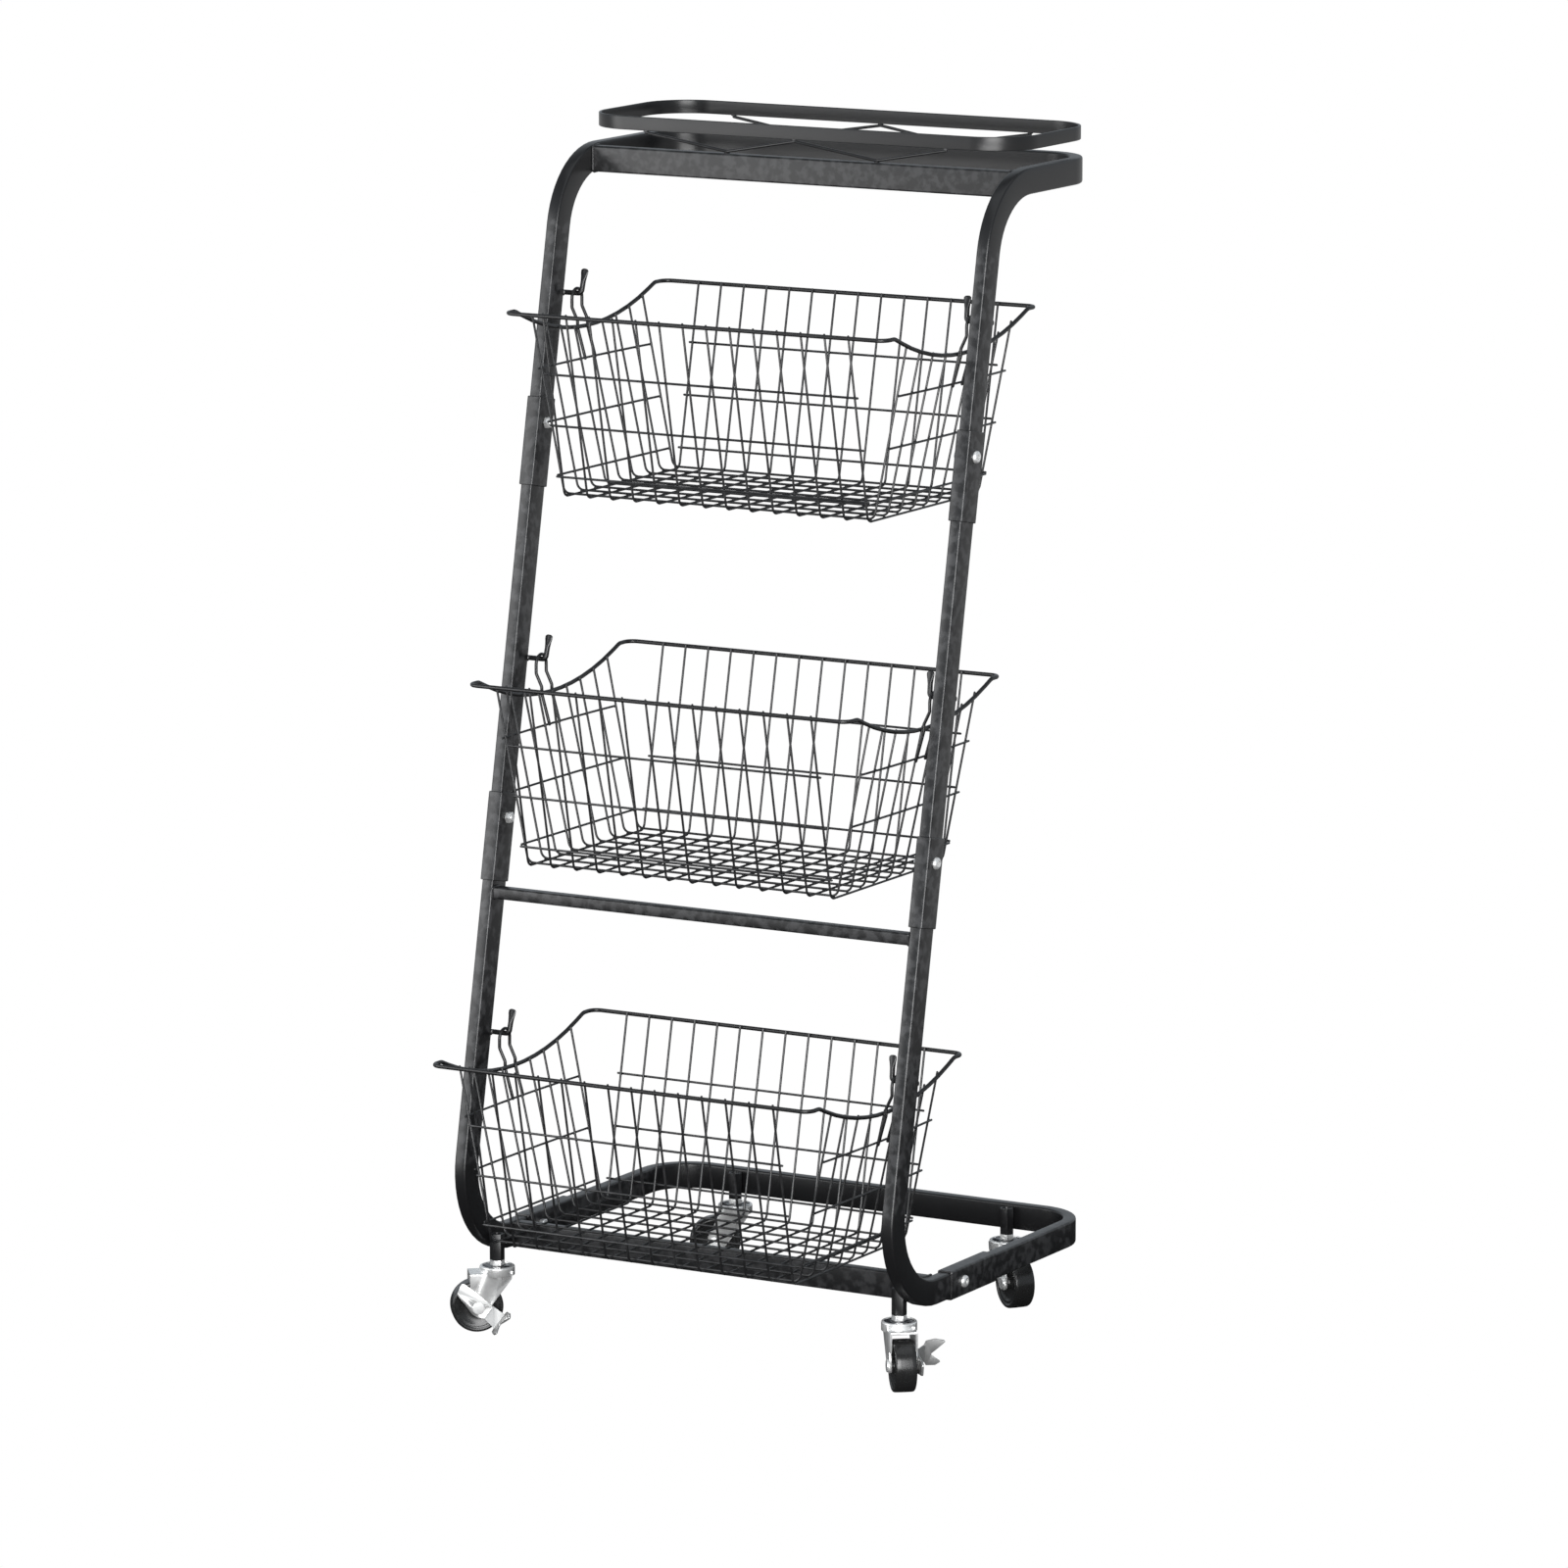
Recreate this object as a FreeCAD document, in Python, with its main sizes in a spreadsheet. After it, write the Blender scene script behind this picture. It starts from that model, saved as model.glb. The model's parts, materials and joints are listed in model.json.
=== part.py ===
import FreeCAD
import Part
import math
import os
import re

import Sketcher

# Rolling utility cart: slanted tube frame, three lift-off wire baskets, four castors.
# X runs across the front, Y to the back, Z up; the castor wheels stand on Z = 0.

V = FreeCAD.Vector
X_AXIS = V(1, 0, 0)
Y_AXIS = V(0, 1, 0)
Z_AXIS = V(0, 0, 1)

GRID_LONG = 14
GRID_CROSS = 9
RODS = 3

SIZES = {
    # frame tube
    "tube_deep": 20.0, "tube_thick": 10.0, "tube_wall": 1.2, "tube_corner": 1.6,
    "frame_width": 382.0, "frame_rear": 150.0, "side_bend": 60.0, "plan_bend": 37.0,
    "top_level": 887.0, "front_foot": 198.3, "lean": 0.2,
    # joints of the frame
    "upper_joint": 676.0, "lower_joint": 380.0, "sleeve_long": 68.0, "sleeve_wall": 1.1,
    "fit_gap": 0.1, "base_joint": 47.0, "base_sleeve_long": 70.0, "bolt_inset": 19.0,
    "bolt_bore": 5.2, "bolt_across": 5.0, "bolt_head_across": 9.5, "bolt_head_high": 2.8,
    "bolt_hex": 3.0, "nut_flats": 8.0, "nut_high": 4.0,
    # crossbars
    "top_bar_front": 22.0, "top_bar_drop": 2.0, "base_bar_front": 102.5,
    "middle_bar_high": 9.0, "middle_bar_deep": 10.0,
    # guard ring
    "ring_gap": 12.5, "ring_side_inset": 3.0, "ring_overhang": 6.5, "ring_high": 10.5,
    "ring_band": 2.0, "ring_corner": 38.0, "zigzag_wire": 2.4, "zigzag_pitch": 65.0,
    # baskets
    "basket_top_level": 784.6, "basket_middle_level": 510.3, "basket_bottom_level": 229.4,
    "basket_side_gap": 17.8, "rim_half_depth": 117.5, "rim_wire": 3.2, "rim_corner": 8.0,
    "rim_dip": 22.2, "dip_inset": 14.5, "dip_slope": 0.405, "dip_blend": 12.0,
    "basket_deep": 140.3, "side_run_in": 29.4, "front_run_in": 30.0, "grid_wire": 1.8,
    "grid_pitch": 20.16, "grid_bend": 6.0, "wire_tip": 1.2, "rod_first": 45.2,
    "rod_pitch": 39.85, "front_rod_past": 3.46, "side_rod_past": 1.86, "weld_gap": 0.04,
    # pegs and hangers
    "peg_wire": 4.0, "peg_inset": 14.0, "hanger_inset": 10.0, "peg_above_rim": 2.2,
    "peg_rise": 18.0, "peg_lean_in": 1.2, "spade_wide": 6.4, "spade_high": 9.0,
    "spade_thin": 1.3, "hanger_wire": 2.5, "hanger_half": 7.3, "hang_clearance": 0.35,
    # castors
    "rear_caster_inset": 64.3, "crown_gap": 10.6, "race_gap": 0.3,
    "rail_over_socket": 12.6, "front_caster_y": -134.0, "socket_flats": 10.0,
    "socket_high": 20.5, "thread_bore": 6.2, "stem_across": 6.0, "collar_high": 4.0,
    "wheel_across": 40.0, "wheel_wide": 16.4, "hub_wide": 17.2, "hub_across": 11.0,
    "dish_deep": 1.2, "trail": 16.0, "axle_across": 6.0, "axle_head_across": 9.6,
    "axle_head_thick": 1.6, "running_gap": 0.08, "side_gap": 0.4, "fork_plate": 1.6,
    "crown_across": 27.0, "crown_high": 7.0, "crown_recess": 2.0, "spindle_across": 8.0,
    "race_across": 22.4, "race_thick": 1.0, "lever_plate": 1.4, "boss_across": 11.0,
    "shoulder_long": 12.0, "shoulder_splay": 40.0, "claw_splay": 88.0, "box_reach": 22.0,
    "box_high": 15.0, "lever_throw": 45.0,
}


def following(own):
    """Sizes set by other sizes, each through a clearance or inset of its own."""
    inner = own["frame_width"] / 2 - own["tube_thick"]
    rim_half_width = inner - own["basket_side_gap"]
    pitch = own["grid_pitch"]
    crown_top = own["wheel_across"] + own["crown_gap"]
    socket_foot = crown_top + own["collar_high"] + own["race_gap"]
    ring_foot = own["top_level"] + own["tube_deep"] / 2 + own["ring_gap"]
    return {
        "rim_half_width": rim_half_width,
        "floor_half_width": rim_half_width - own["side_run_in"],
        "floor_half_depth": own["rim_half_depth"] - own["front_run_in"],
        "front_rod_half": (GRID_LONG - 1) / 2 * pitch + own["front_rod_past"],
        "side_rod_half": (GRID_CROSS - 1) / 2 * pitch + own["side_rod_past"],
        "dip_reach": own["rim_half_depth"] - own["dip_inset"],
        "hanger_plane": inner - own["hanger_inset"],
        "peg_reach": inner - own["peg_inset"],
        "front_caster_x": inner - own["socket_flats"] / 2,
        "rear_caster_x": inner + own["tube_thick"] / 2 - own["rear_caster_inset"],
        "ring_half_width": own["frame_width"] / 2 - own["ring_side_inset"],
        "ring_top": ring_foot + own["ring_high"],
        "ring_front": own["top_bar_front"] - own["ring_overhang"],
        "ring_rear": own["frame_rear"],
        "top_bar_level": own["top_level"] - own["top_bar_drop"],
        "crown_top": crown_top,
        "socket_foot": socket_foot,
        "rail_level": socket_foot + own["rail_over_socket"],
    }


SIZES.update((alias, round(number, 6)) for alias, number in following(SIZES).items())

BASKETS = ("top", "middle", "bottom")
SIDES = (("left", -1), ("right", 1))
# castor name, side, front or rear, direction of trail in degrees, brake lever turned by
CASTERS = (
    ("front_left", -1, "front", 218.0, 0.0),
    ("front_right", 1, "front", -51.4, 1.0),
    ("rear_left", -1, "rear", 210.0, None),
    ("rear_right", 1, "rear", -37.0, None),
)

doc = FreeCAD.newDocument("rolling_cart")
sheet = doc.addObject("Spreadsheet::Sheet", "Sizes")
for row, (alias, number) in enumerate(SIZES.items(), start=1):
    sheet.set("A%d" % row, alias)
    sheet.set("B%d" % row, str(number))
    sheet.setAlias("B%d" % row, alias)
doc.recompute()


class Read:
    """The sheet's values by name."""

    def __getattr__(self, alias):
        return float(sheet.get(alias))


size = Read()
nodes = []


def bind(obj, **formulas):
    """Tie properties to sheet cells: every word that is an alias is read from the sheet."""
    for prop, formula in formulas.items():
        text = re.sub(r"[a-z]\w*", lambda word: "Sizes." + word.group()
                      if word.group() in SIZES else word.group(), formula)
        obj.setExpression(prop, text)


def node(obj, label):
    obj.Label = label
    nodes.append(obj)
    return obj


def shape_node(label, shape):
    """A piece that only Part's own functions can make: bent wire."""
    obj = doc.addObject("Part::Feature", label)
    obj.Shape = shape
    return node(obj, label)


# ---------------------------------------------------------------- derived places

tilt = math.degrees(math.atan(size.lean))
tube_slant = size.tube_deep / math.cos(math.radians(tilt))
side_x = size.frame_width / 2 - size.tube_thick / 2
inner_x = size.frame_width / 2 - size.tube_thick
rear_y = size.frame_rear - size.tube_thick / 2


def upright_y(z):
    """Y of the upright's centre line at a height."""
    return -size.front_foot + tube_slant / 2 + size.lean * z


def upright_back(z):
    return upright_y(z) + tube_slant / 2


basket_levels = {name: getattr(size, "basket_%s_level" % name) for name in BASKETS}


def peg_level(name):
    return basket_levels[name] + size.peg_above_rim


def basket_y(name):
    """The basket hangs from pegs that lie against the back of the uprights."""
    peg_touch = size.peg_wire / 2 / math.cos(math.radians(tilt))
    return upright_back(peg_level(name)) + peg_touch + size.weld_gap


# ---------------------------------------------------------------- sketches and tubes

def origin_plane(body, role):
    return [f for f in body.Origin.OriginFeatures if f.Role == role][0]


def new_sketch(body, name, role, offset=0.0):
    sketch = body.newObject("Sketcher::SketchObject", name)
    sketch.AttachmentSupport = [(origin_plane(body, role), "")]
    sketch.MapMode = "FlatFace"
    sketch.AttachmentOffset = FreeCAD.Placement(V(0, 0, offset), FreeCAD.Rotation())
    return sketch


def rounded_outline(sketch, width, height, corner, centre=(0.0, 0.0)):
    """Rectangle with round corners about a centre, its sizes formulas of the sheet."""
    first = sketch.GeometryCount
    half = (10.0, 10.0)
    turn = 2.0
    u, v = centre
    spans = (
        (V(u - half[0] + turn, v - half[1], 0), V(u + half[0] - turn, v - half[1], 0)),
        (V(u + half[0], v - half[1] + turn, 0), V(u + half[0], v + half[1] - turn, 0)),
        (V(u + half[0] - turn, v + half[1], 0), V(u - half[0] + turn, v + half[1], 0)),
        (V(u - half[0], v + half[1] - turn, 0), V(u - half[0], v - half[1] + turn, 0)),
    )
    hubs = ((1, -1), (1, 1), (-1, 1), (-1, -1))
    for index, (start, end) in enumerate(spans):
        sketch.addGeometry(Part.LineSegment(start, end))
        sx, sy = hubs[index]
        hub = V(u + sx * (half[0] - turn), v + sy * (half[1] - turn), 0)
        circle = Part.Circle(hub, Z_AXIS, turn)
        begin = (index - 1) * math.pi / 2
        sketch.addGeometry(Part.ArcOfCircle(circle, begin, begin + math.pi / 2))
    add = sketch.addConstraint
    for index in range(4):
        line = first + 2 * index
        arc = line + 1
        following = first + (2 * index + 2) % 8
        add(Sketcher.Constraint("Tangent", line, 2, arc, 1))
        add(Sketcher.Constraint("Tangent", arc, 2, following, 1))
    for index in (0, 2):
        add(Sketcher.Constraint("Horizontal", first + 2 * index))
        add(Sketcher.Constraint("Vertical", first + 2 * index + 2))
    for index in (1, 2, 3):
        add(Sketcher.Constraint("Equal", first + 1, first + 1 + 2 * index))
    numbers = (
        (corner, add(Sketcher.Constraint("Radius", first + 1, turn))),
        (width, add(Sketcher.Constraint("DistanceX", first + 7, 1, first + 3, 1, 2 * half[0]))),
        (height, add(Sketcher.Constraint("DistanceY", first + 1, 1, first + 3, 2, 2 * half[1]))),
    )
    for formula, index in numbers:
        bind(sketch, **{"Constraints[%d]" % index: formula})
    add(Sketcher.Constraint("DistanceX", -1, 1, first + 3, 1, u + half[0]))
    bind(sketch, **{"Constraints[%d]" % (sketch.ConstraintCount - 1):
                    "( %s ) / 2 + %f" % (width, u)})
    add(Sketcher.Constraint("DistanceY", -1, 1, first + 3, 2, v + half[1]))
    bind(sketch, **{"Constraints[%d]" % (sketch.ConstraintCount - 1):
                    "( %s ) / 2 + %f" % (height, v)})


def tube_section(sketch, width, height, corner, wall, centre=(0.0, 0.0)):
    rounded_outline(sketch, width, height, corner, centre)
    rounded_outline(sketch, "%s - 2 * %s" % (width, wall), "%s - 2 * %s" % (height, wall),
                    "%s / 2" % corner, centre)


def straight_tube(label, length, placement, width="tube_deep", height="tube_thick",
                  wall="tube_wall", corner="tube_corner"):
    """A length of hollow bar along its own Z, centred on its section."""
    body = doc.addObject("PartDesign::Body", label)
    sketch = new_sketch(body, label + "_section", "XY_Plane")
    tube_section(sketch, width, height, corner, wall)
    pad = body.newObject("PartDesign::Pad", label + "_pad")
    pad.Profile = sketch
    pad.Length = length
    body.Placement = placement
    return node(body, label)


def line(a, b):
    return Part.LineSegment(a, b)


def bent_path(points, bends, closed=False):
    """Straight runs joined by arcs tangent to both: the centre line of a bent piece."""
    count = len(points)
    corners = range(count) if closed else range(1, count - 1)
    cuts = {}
    for index in corners:
        before = (points[index - 1] - points[index]).normalize()
        after = (points[(index + 1) % count] - points[index]).normalize()
        half = before.getAngle(after) / 2
        radius = bends[index] if isinstance(bends, (list, tuple)) else bends
        reach = radius / math.tan(half)
        middle = (before + after).normalize() * (radius / math.sin(half) - radius)
        corner = points[index]
        cuts[index] = (corner + before * reach, corner + middle, corner + after * reach)
    pieces = []
    for index in range(count if closed else count - 1):
        following = (index + 1) % count
        start = cuts[index][2] if index in cuts else points[index]
        end = cuts[following][0] if following in cuts else points[following]
        if start.distanceToPoint(end) > 1e-4:
            pieces.append(line(start, end))
        if following in cuts:
            pieces.append(Part.Arc(*cuts[following]))
    return pieces


def swept(pieces, radius):
    """A round wire of a radius along a path."""
    path = Part.Wire([piece.toShape() for piece in pieces])
    first = pieces[0]
    start = first.value(first.FirstParameter)
    ahead = first.tangent(first.FirstParameter)[0]
    ring = Part.Wire([Part.Circle(start, ahead, radius).toShape()])
    return path.makePipeShell([ring], True, False)


def wire_piece(points, bends, radius, closed=False):
    return swept(bent_path(points, bends, closed), radius)


def piped(body, name, section, pieces, role, offset):
    """Add a pipe to a body: a section sketch carried along a path sketch on a plane."""
    path = new_sketch(body, name + "_path", role, offset)
    for piece in pieces:
        path.addGeometry(piece)
    pipe = body.newObject("PartDesign::AdditivePipe", name + "_pipe")
    pipe.Profile = section
    pipe.Spine = path
    return pipe


def flat(points):
    """Path points given in the plane of a sketch."""
    return [V(a, b, 0) for a, b in points]


# ---------------------------------------------------------------- frame

def build_side_tube(label, sign, ends, bends):
    """A tube bent in the side plane; its section lies across Y at the first point."""
    body = doc.addObject("PartDesign::Body", label)
    section = new_sketch(body, label + "_section", "XZ_Plane", -ends[0][0])
    tube_section(section, "tube_thick", "tube_deep", "tube_corner", "tube_wall",
                 (sign * side_x, ends[0][1]))
    pieces = bent_path(flat(ends), bends)
    piped(body, label, section, pieces, "YZ_Plane", sign * side_x)
    return body


def rear_loop(level_y):
    """Plan of a rail that runs back, across the rear and forward again."""
    return flat(((-side_x, level_y), (-side_x, rear_y), (side_x, rear_y), (side_x, level_y)))


def add_rear_rail(body, label, level, start_y, section):
    pieces = bent_path(rear_loop(start_y), size.plan_bend)
    return piped(body, label, section, pieces, "XY_Plane", level)


def build_upper_frame():
    """One bent tube: both upper uprights, the two top bends and the rail round the back."""
    label = "upper_frame"
    body = doc.addObject("PartDesign::Body", label)
    meet = rear_y - size.plan_bend - 10
    top = size.top_level
    foot = size.upper_joint + size.fit_gap
    route = flat(((meet, top), (upright_y(top), top), (upright_y(foot), foot)))
    for name, sign in SIDES:
        section = new_sketch(body, "upper_section_" + name, "XZ_Plane", -meet)
        tube_section(section, "tube_thick", "tube_deep", "tube_corner", "tube_wall",
                     (sign * side_x, top))
        piped(body, "upper_" + name, section, bent_path(route, size.side_bend),
              "YZ_Plane", sign * side_x)
        if sign < 0:
            add_rear_rail(body, "upper_rear", top, meet, section)
    return node(body, label)


def build_lower_frame(name, sign):
    """Lower upright, bottom bend and the short stub that enters the base sleeve."""
    label = "lower_frame_" + name
    head = size.lower_joint - size.fit_gap
    rail = size.rail_level
    route = ((-size.base_joint - size.fit_gap, rail), (upright_y(rail), rail),
             (upright_y(head), head))
    return node(build_side_tube(label, sign, route, size.side_bend), label)


def build_base_frame():
    """The base rail: back from one sleeve, across the rear and forward to the other."""
    label = "base_frame"
    body = doc.addObject("PartDesign::Body", label)
    start = -size.base_joint + size.fit_gap
    section = new_sketch(body, label + "_section", "XZ_Plane", -start)
    tube_section(section, "tube_thick", "tube_deep", "tube_corner", "tube_wall",
                 (-side_x, size.rail_level))
    add_rear_rail(body, label, size.rail_level, start, section)
    return node(body, label)


def along_upright(x, z, turn=0.0):
    """Placement whose Z runs up the leaning upright and whose X lies across its depth."""
    place = FreeCAD.Placement(V(x, upright_y(z), z), FreeCAD.Rotation(X_AXIS, -tilt))
    return place.multiply(FreeCAD.Placement(V(0, 0, 0), FreeCAD.Rotation(Z_AXIS, 90 + turn)))


def build_mid_tube(name, sign):
    start = size.lower_joint + size.fit_gap
    rise = size.upper_joint - size.fit_gap - start
    return straight_tube("mid_tube_" + name, rise / math.cos(math.radians(tilt)),
                         along_upright(sign * side_x, start))


SLEEVE_DEEP = "tube_deep + 2 * fit_gap + 2 * sleeve_wall"
SLEEVE_THICK = "tube_thick + 2 * fit_gap + 2 * sleeve_wall"
sleeve_foot_drop = size.sleeve_long / 2 * math.cos(math.radians(tilt))


def build_upright_sleeve(level_name, joint, name, sign):
    label = "%s_sleeve_%s" % (level_name, name)
    return straight_tube(label, size.sleeve_long,
                         along_upright(sign * side_x, joint - sleeve_foot_drop),
                         SLEEVE_DEEP, SLEEVE_THICK, "sleeve_wall", "tube_corner")


base_sleeve_front = -size.base_joint - size.base_sleeve_long / 2


def build_base_sleeve(name, sign):
    turned = FreeCAD.Rotation(Z_AXIS, 90) * FreeCAD.Rotation(Y_AXIS, 90)
    place = FreeCAD.Placement(V(sign * side_x, base_sleeve_front, size.rail_level), turned)
    return straight_tube("base_sleeve_" + name, size.base_sleeve_long, place,
                         SLEEVE_DEEP, SLEEVE_THICK, "sleeve_wall", "tube_corner")


def build_crossbar(label, front, level, deep, high):
    """A bar between the inner faces of the two sides, its front face at a Y."""
    turned = FreeCAD.Rotation(Y_AXIS, 90)
    place = FreeCAD.Placement(V(-inner_x, front + getattr(size, deep) / 2, level), turned)
    bar = straight_tube(label, 2 * inner_x, place, high, deep)
    return bar


def bolt_places():
    """Where the six frame bolts cross the tubes, and how far each turns about X."""
    drop = size.sleeve_long / 2 - size.bolt_inset
    lean_rise = drop * math.cos(math.radians(tilt))
    places = []
    for joint in (size.upper_joint, size.lower_joint):
        z = joint + lean_rise
        places.append((upright_y(z), z))
    places.append((base_sleeve_front + size.bolt_inset, size.rail_level))
    return places


def drilled(label, body, holes):
    """The body with round holes for the bolts cut through it along X."""
    rods = []
    for index, (y, z, sign) in enumerate(holes):
        rod = doc.addObject("Part::Cylinder", "%s_bore_%d" % (label, index))
        bind(rod, Radius="bolt_bore / 2", Height="3 * tube_thick")
        start = V(sign * side_x - 1.5 * size.tube_thick, y, z)
        rod.Placement = FreeCAD.Placement(start, FreeCAD.Rotation(Y_AXIS, 90))
        rods.append(rod)
    tool = rods[0]
    if len(rods) > 1:
        tool = doc.addObject("Part::MultiFuse", label + "_bores")
        tool.Shapes = rods
    cut = doc.addObject("Part::Cut", label + "_drilled")
    cut.Base = body
    cut.Tool = tool
    nodes.remove(body)
    body.Label = label + "_blank"
    return node(cut, label)


def build_frame():
    upper, lower, base = bolt_places()
    both = [(place, sign) for place in (upper,) for _, sign in SIDES]
    drilled("upper_frame", build_upper_frame(), [(*place, sign) for place, sign in both])
    base_blank = build_base_frame()
    base_blank.Label = "base_frame"
    for name, sign in SIDES:
        drilled("mid_tube_" + name, build_mid_tube(name, sign), [(*lower, sign)])
        drilled("lower_frame_" + name, build_lower_frame(name, sign), [(*base, sign)])
        for level_name, joint, place in (("upper", size.upper_joint, upper),
                                         ("lower", size.lower_joint, lower)):
            blank = build_upright_sleeve(level_name, joint, name, sign)
            drilled("%s_sleeve_%s" % (level_name, name), blank, [(*place, sign)])
        drilled("base_sleeve_" + name, build_base_sleeve(name, sign), [(*base, sign)])
    build_crossbar("top_crossbar", size.top_bar_front, size.top_bar_level,
                   "tube_thick", "tube_deep")
    build_crossbar("base_crossbar", -size.base_bar_front, size.rail_level,
                   "tube_thick", "tube_deep")
    bar_top = size.lower_joint - sleeve_foot_drop
    bar_level = bar_top - size.middle_bar_high / 2 - 2.8
    bar_front = upright_y(bar_level) - tube_slant / 2 + 0.4
    build_crossbar("middle_crossbar", bar_front, bar_level, "middle_bar_deep",
                   "middle_bar_high")


def group(label, members):
    bundle = doc.addObject("Part::Compound", label)
    bundle.Links = members
    return node(bundle, label)


def hexagon(name, flats, height):
    prism = doc.addObject("Part::Prism", name)
    prism.Polygon = 6
    bind(prism, Circumradius="%s / sqrt(3)" % flats, Height=height)
    return prism


def cylinder(name, radius, height):
    obj = doc.addObject("Part::Cylinder", name)
    bind(obj, Radius=radius, Height=height)
    return obj


def fuse(name, shapes):
    obj = doc.addObject("Part::MultiFuse", name)
    obj.Shapes = shapes
    return obj


def cut(name, base, tool):
    obj = doc.addObject("Part::Cut", name)
    obj.Base = base
    obj.Tool = tool
    return obj


def at(obj, x, y, z, rotation=None):
    obj.Placement = FreeCAD.Placement(V(x, y, z), rotation or FreeCAD.Rotation())
    return obj


def build_bolts():
    """Button-head bolts through the sleeves, each with its nut on the inner face."""
    bolts = []
    nuts = []
    outer = size.frame_width / 2 + size.fit_gap + size.sleeve_wall
    inner = inner_x - size.fit_gap - size.sleeve_wall
    for number, (y, z) in enumerate(bolt_places()):
        for name, sign in SIDES:
            tag = "%s_%d" % (name, number)
            outward = FreeCAD.Rotation(Y_AXIS, sign * 90)
            shank = cylinder("shank_" + tag, "bolt_across / 2",
                             "tube_thick + 2 * fit_gap + 2 * sleeve_wall + nut_high + 1")
            length = size.tube_thick + 2 * (size.fit_gap + size.sleeve_wall)
            at(shank, sign * (outer - length - size.nut_high - 1), y, z, outward)
            head = cylinder("head_" + tag, "bolt_head_across / 2", "bolt_head_high")
            at(head, sign * outer, y, z, outward)
            dome = doc.addObject("Part::Fillet", "dome_" + tag)
            doc.recompute()
            dome.Base = head
            rim = [i for i, edge in enumerate(head.Shape.Edges, 1)
                   if abs(abs(edge.CenterOfMass.x) - outer - size.bolt_head_high) < 1e-6
                   and edge.Closed][0]
            dome.Edges = [(rim, 0.7 * size.bolt_head_high, 0.7 * size.bolt_head_high)]
            socket = hexagon("key_" + tag, "bolt_hex", "bolt_head_high")
            at(socket, sign * (outer + 0.35 * size.bolt_head_high), y, z, outward)
            bolts.append(cut("bolt_" + tag, fuse("bolt_blank_" + tag, [shank, dome]), socket))
            nut = hexagon("nut_blank_" + tag, "nut_flats", "nut_high")
            at(nut, sign * inner, y, z, FreeCAD.Rotation(Y_AXIS, -sign * 90))
            bore = cylinder("nut_bore_" + tag, "bolt_bore / 2", "2 * nut_high")
            at(bore, sign * (inner + 1), y, z, FreeCAD.Rotation(Y_AXIS, -sign * 90))
            nuts.append(cut("nut_" + tag, nut, bore))
    group("frame_bolts", bolts)
    group("frame_nuts", nuts)


def build_guard():
    """The flat band round the top, and the zigzag wires that hold it off the rail."""
    body = doc.addObject("PartDesign::Body", "guard_rail")
    middle = (size.ring_front + size.ring_rear) / 2
    sketch = new_sketch(body, "guard_outline", "XY_Plane", size.ring_top - size.ring_high)
    deep = size.ring_rear - size.ring_front
    rounded_outline(sketch, "2 * ring_half_width", "ring_rear - ring_front",
                    "ring_corner", (0.0, middle))
    rounded_outline(sketch, "2 * ring_half_width - 2 * ring_band",
                    "ring_rear - ring_front - 2 * ring_band", "ring_corner - ring_band",
                    (0.0, middle))
    pad = body.newObject("PartDesign::Pad", "guard_pad")
    pad.Profile = sketch
    bind(pad, Length="ring_high")
    node(body, "guard_rail")
    radius = size.zigzag_wire / 2
    high = size.ring_top - size.ring_high - radius - size.weld_gap
    bar_top = size.top_bar_level + size.tube_deep / 2 + radius + size.weld_gap
    rail_top = size.top_level + size.tube_deep / 2 + radius + size.weld_gap
    runs = (("front", size.ring_front + size.ring_band / 2,
             size.top_bar_front + size.tube_thick / 2, bar_top),
            ("rear", size.ring_rear - size.ring_band / 2, rear_y, rail_top))
    for name, ring_y, rail_y, low in runs:
        points = []
        for step in range(-2, 3):
            up = step % 2 == 0
            points.append(V(step * size.zigzag_pitch, ring_y if up else rail_y,
                            high if up else low))
        shape_node("guard_zigzag_" + name, wire_piece(points, 2 * radius + 1, radius))


# ---------------------------------------------------------------- pegs and baskets

def build_pegs():
    """Bent pegs welded behind the uprights, each ending in a flattened flared tip."""
    radius = size.peg_wire / 2
    for name in BASKETS:
        level = peg_level(name)
        y = basket_y(name)
        pegs = []
        for side, sign in SIDES:
            start = V(sign * (inner_x + 0.75 * size.tube_thick), y, level)
            corner = V(sign * size.peg_reach, y, level)
            neck_rise = size.peg_rise - size.spade_high
            share = neck_rise / size.peg_rise
            tip = V(-sign * size.peg_lean_in, size.lean * size.peg_rise, size.peg_rise)
            neck = corner + tip * share
            stem = wire_piece([start, corner, neck], 1.5 * radius, radius)
            sections = []
            for height, wide, thick in ((-0.05, 1.6 * radius, 1.6 * radius),
                                        (0.35, 0.75 * size.spade_wide, 1.3 * radius),
                                        (1.0, size.spade_wide, size.spade_thin)):
                centre = neck + tip * ((1 - share) * height)
                corners = [centre + V(a * wide / 2, b * thick / 2, 0)
                           for a, b in ((-1, -1), (1, -1), (1, 1), (-1, 1))]
                sections.append(Part.makePolygon(corners + corners[:1]))
            spade = Part.makeLoft(sections, True, True)
            pegs.append(stem.fuse(spade))
        shape_node("basket_pegs_" + name, Part.makeCompound(pegs))


rim_radius = size.rim_wire / 2
grid_radius = size.grid_wire / 2
wall_lean_y = (size.rim_half_depth - size.floor_half_depth) / size.basket_deep
rim_to_wire = rim_radius + grid_radius + size.weld_gap
side_wire_top = size.rim_half_width - rim_to_wire
front_wire_top = size.rim_half_depth - rim_to_wire / math.cos(math.atan(wall_lean_y))


def dip_vertex_drop():
    """How far below the rim the two straight flanks of the dip would meet."""
    return size.dip_reach * size.dip_slope


def dip_radius():
    flank = math.atan(size.dip_slope)
    return (dip_vertex_drop() - size.rim_dip) / (1 / math.cos(flank) - 1)


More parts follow.
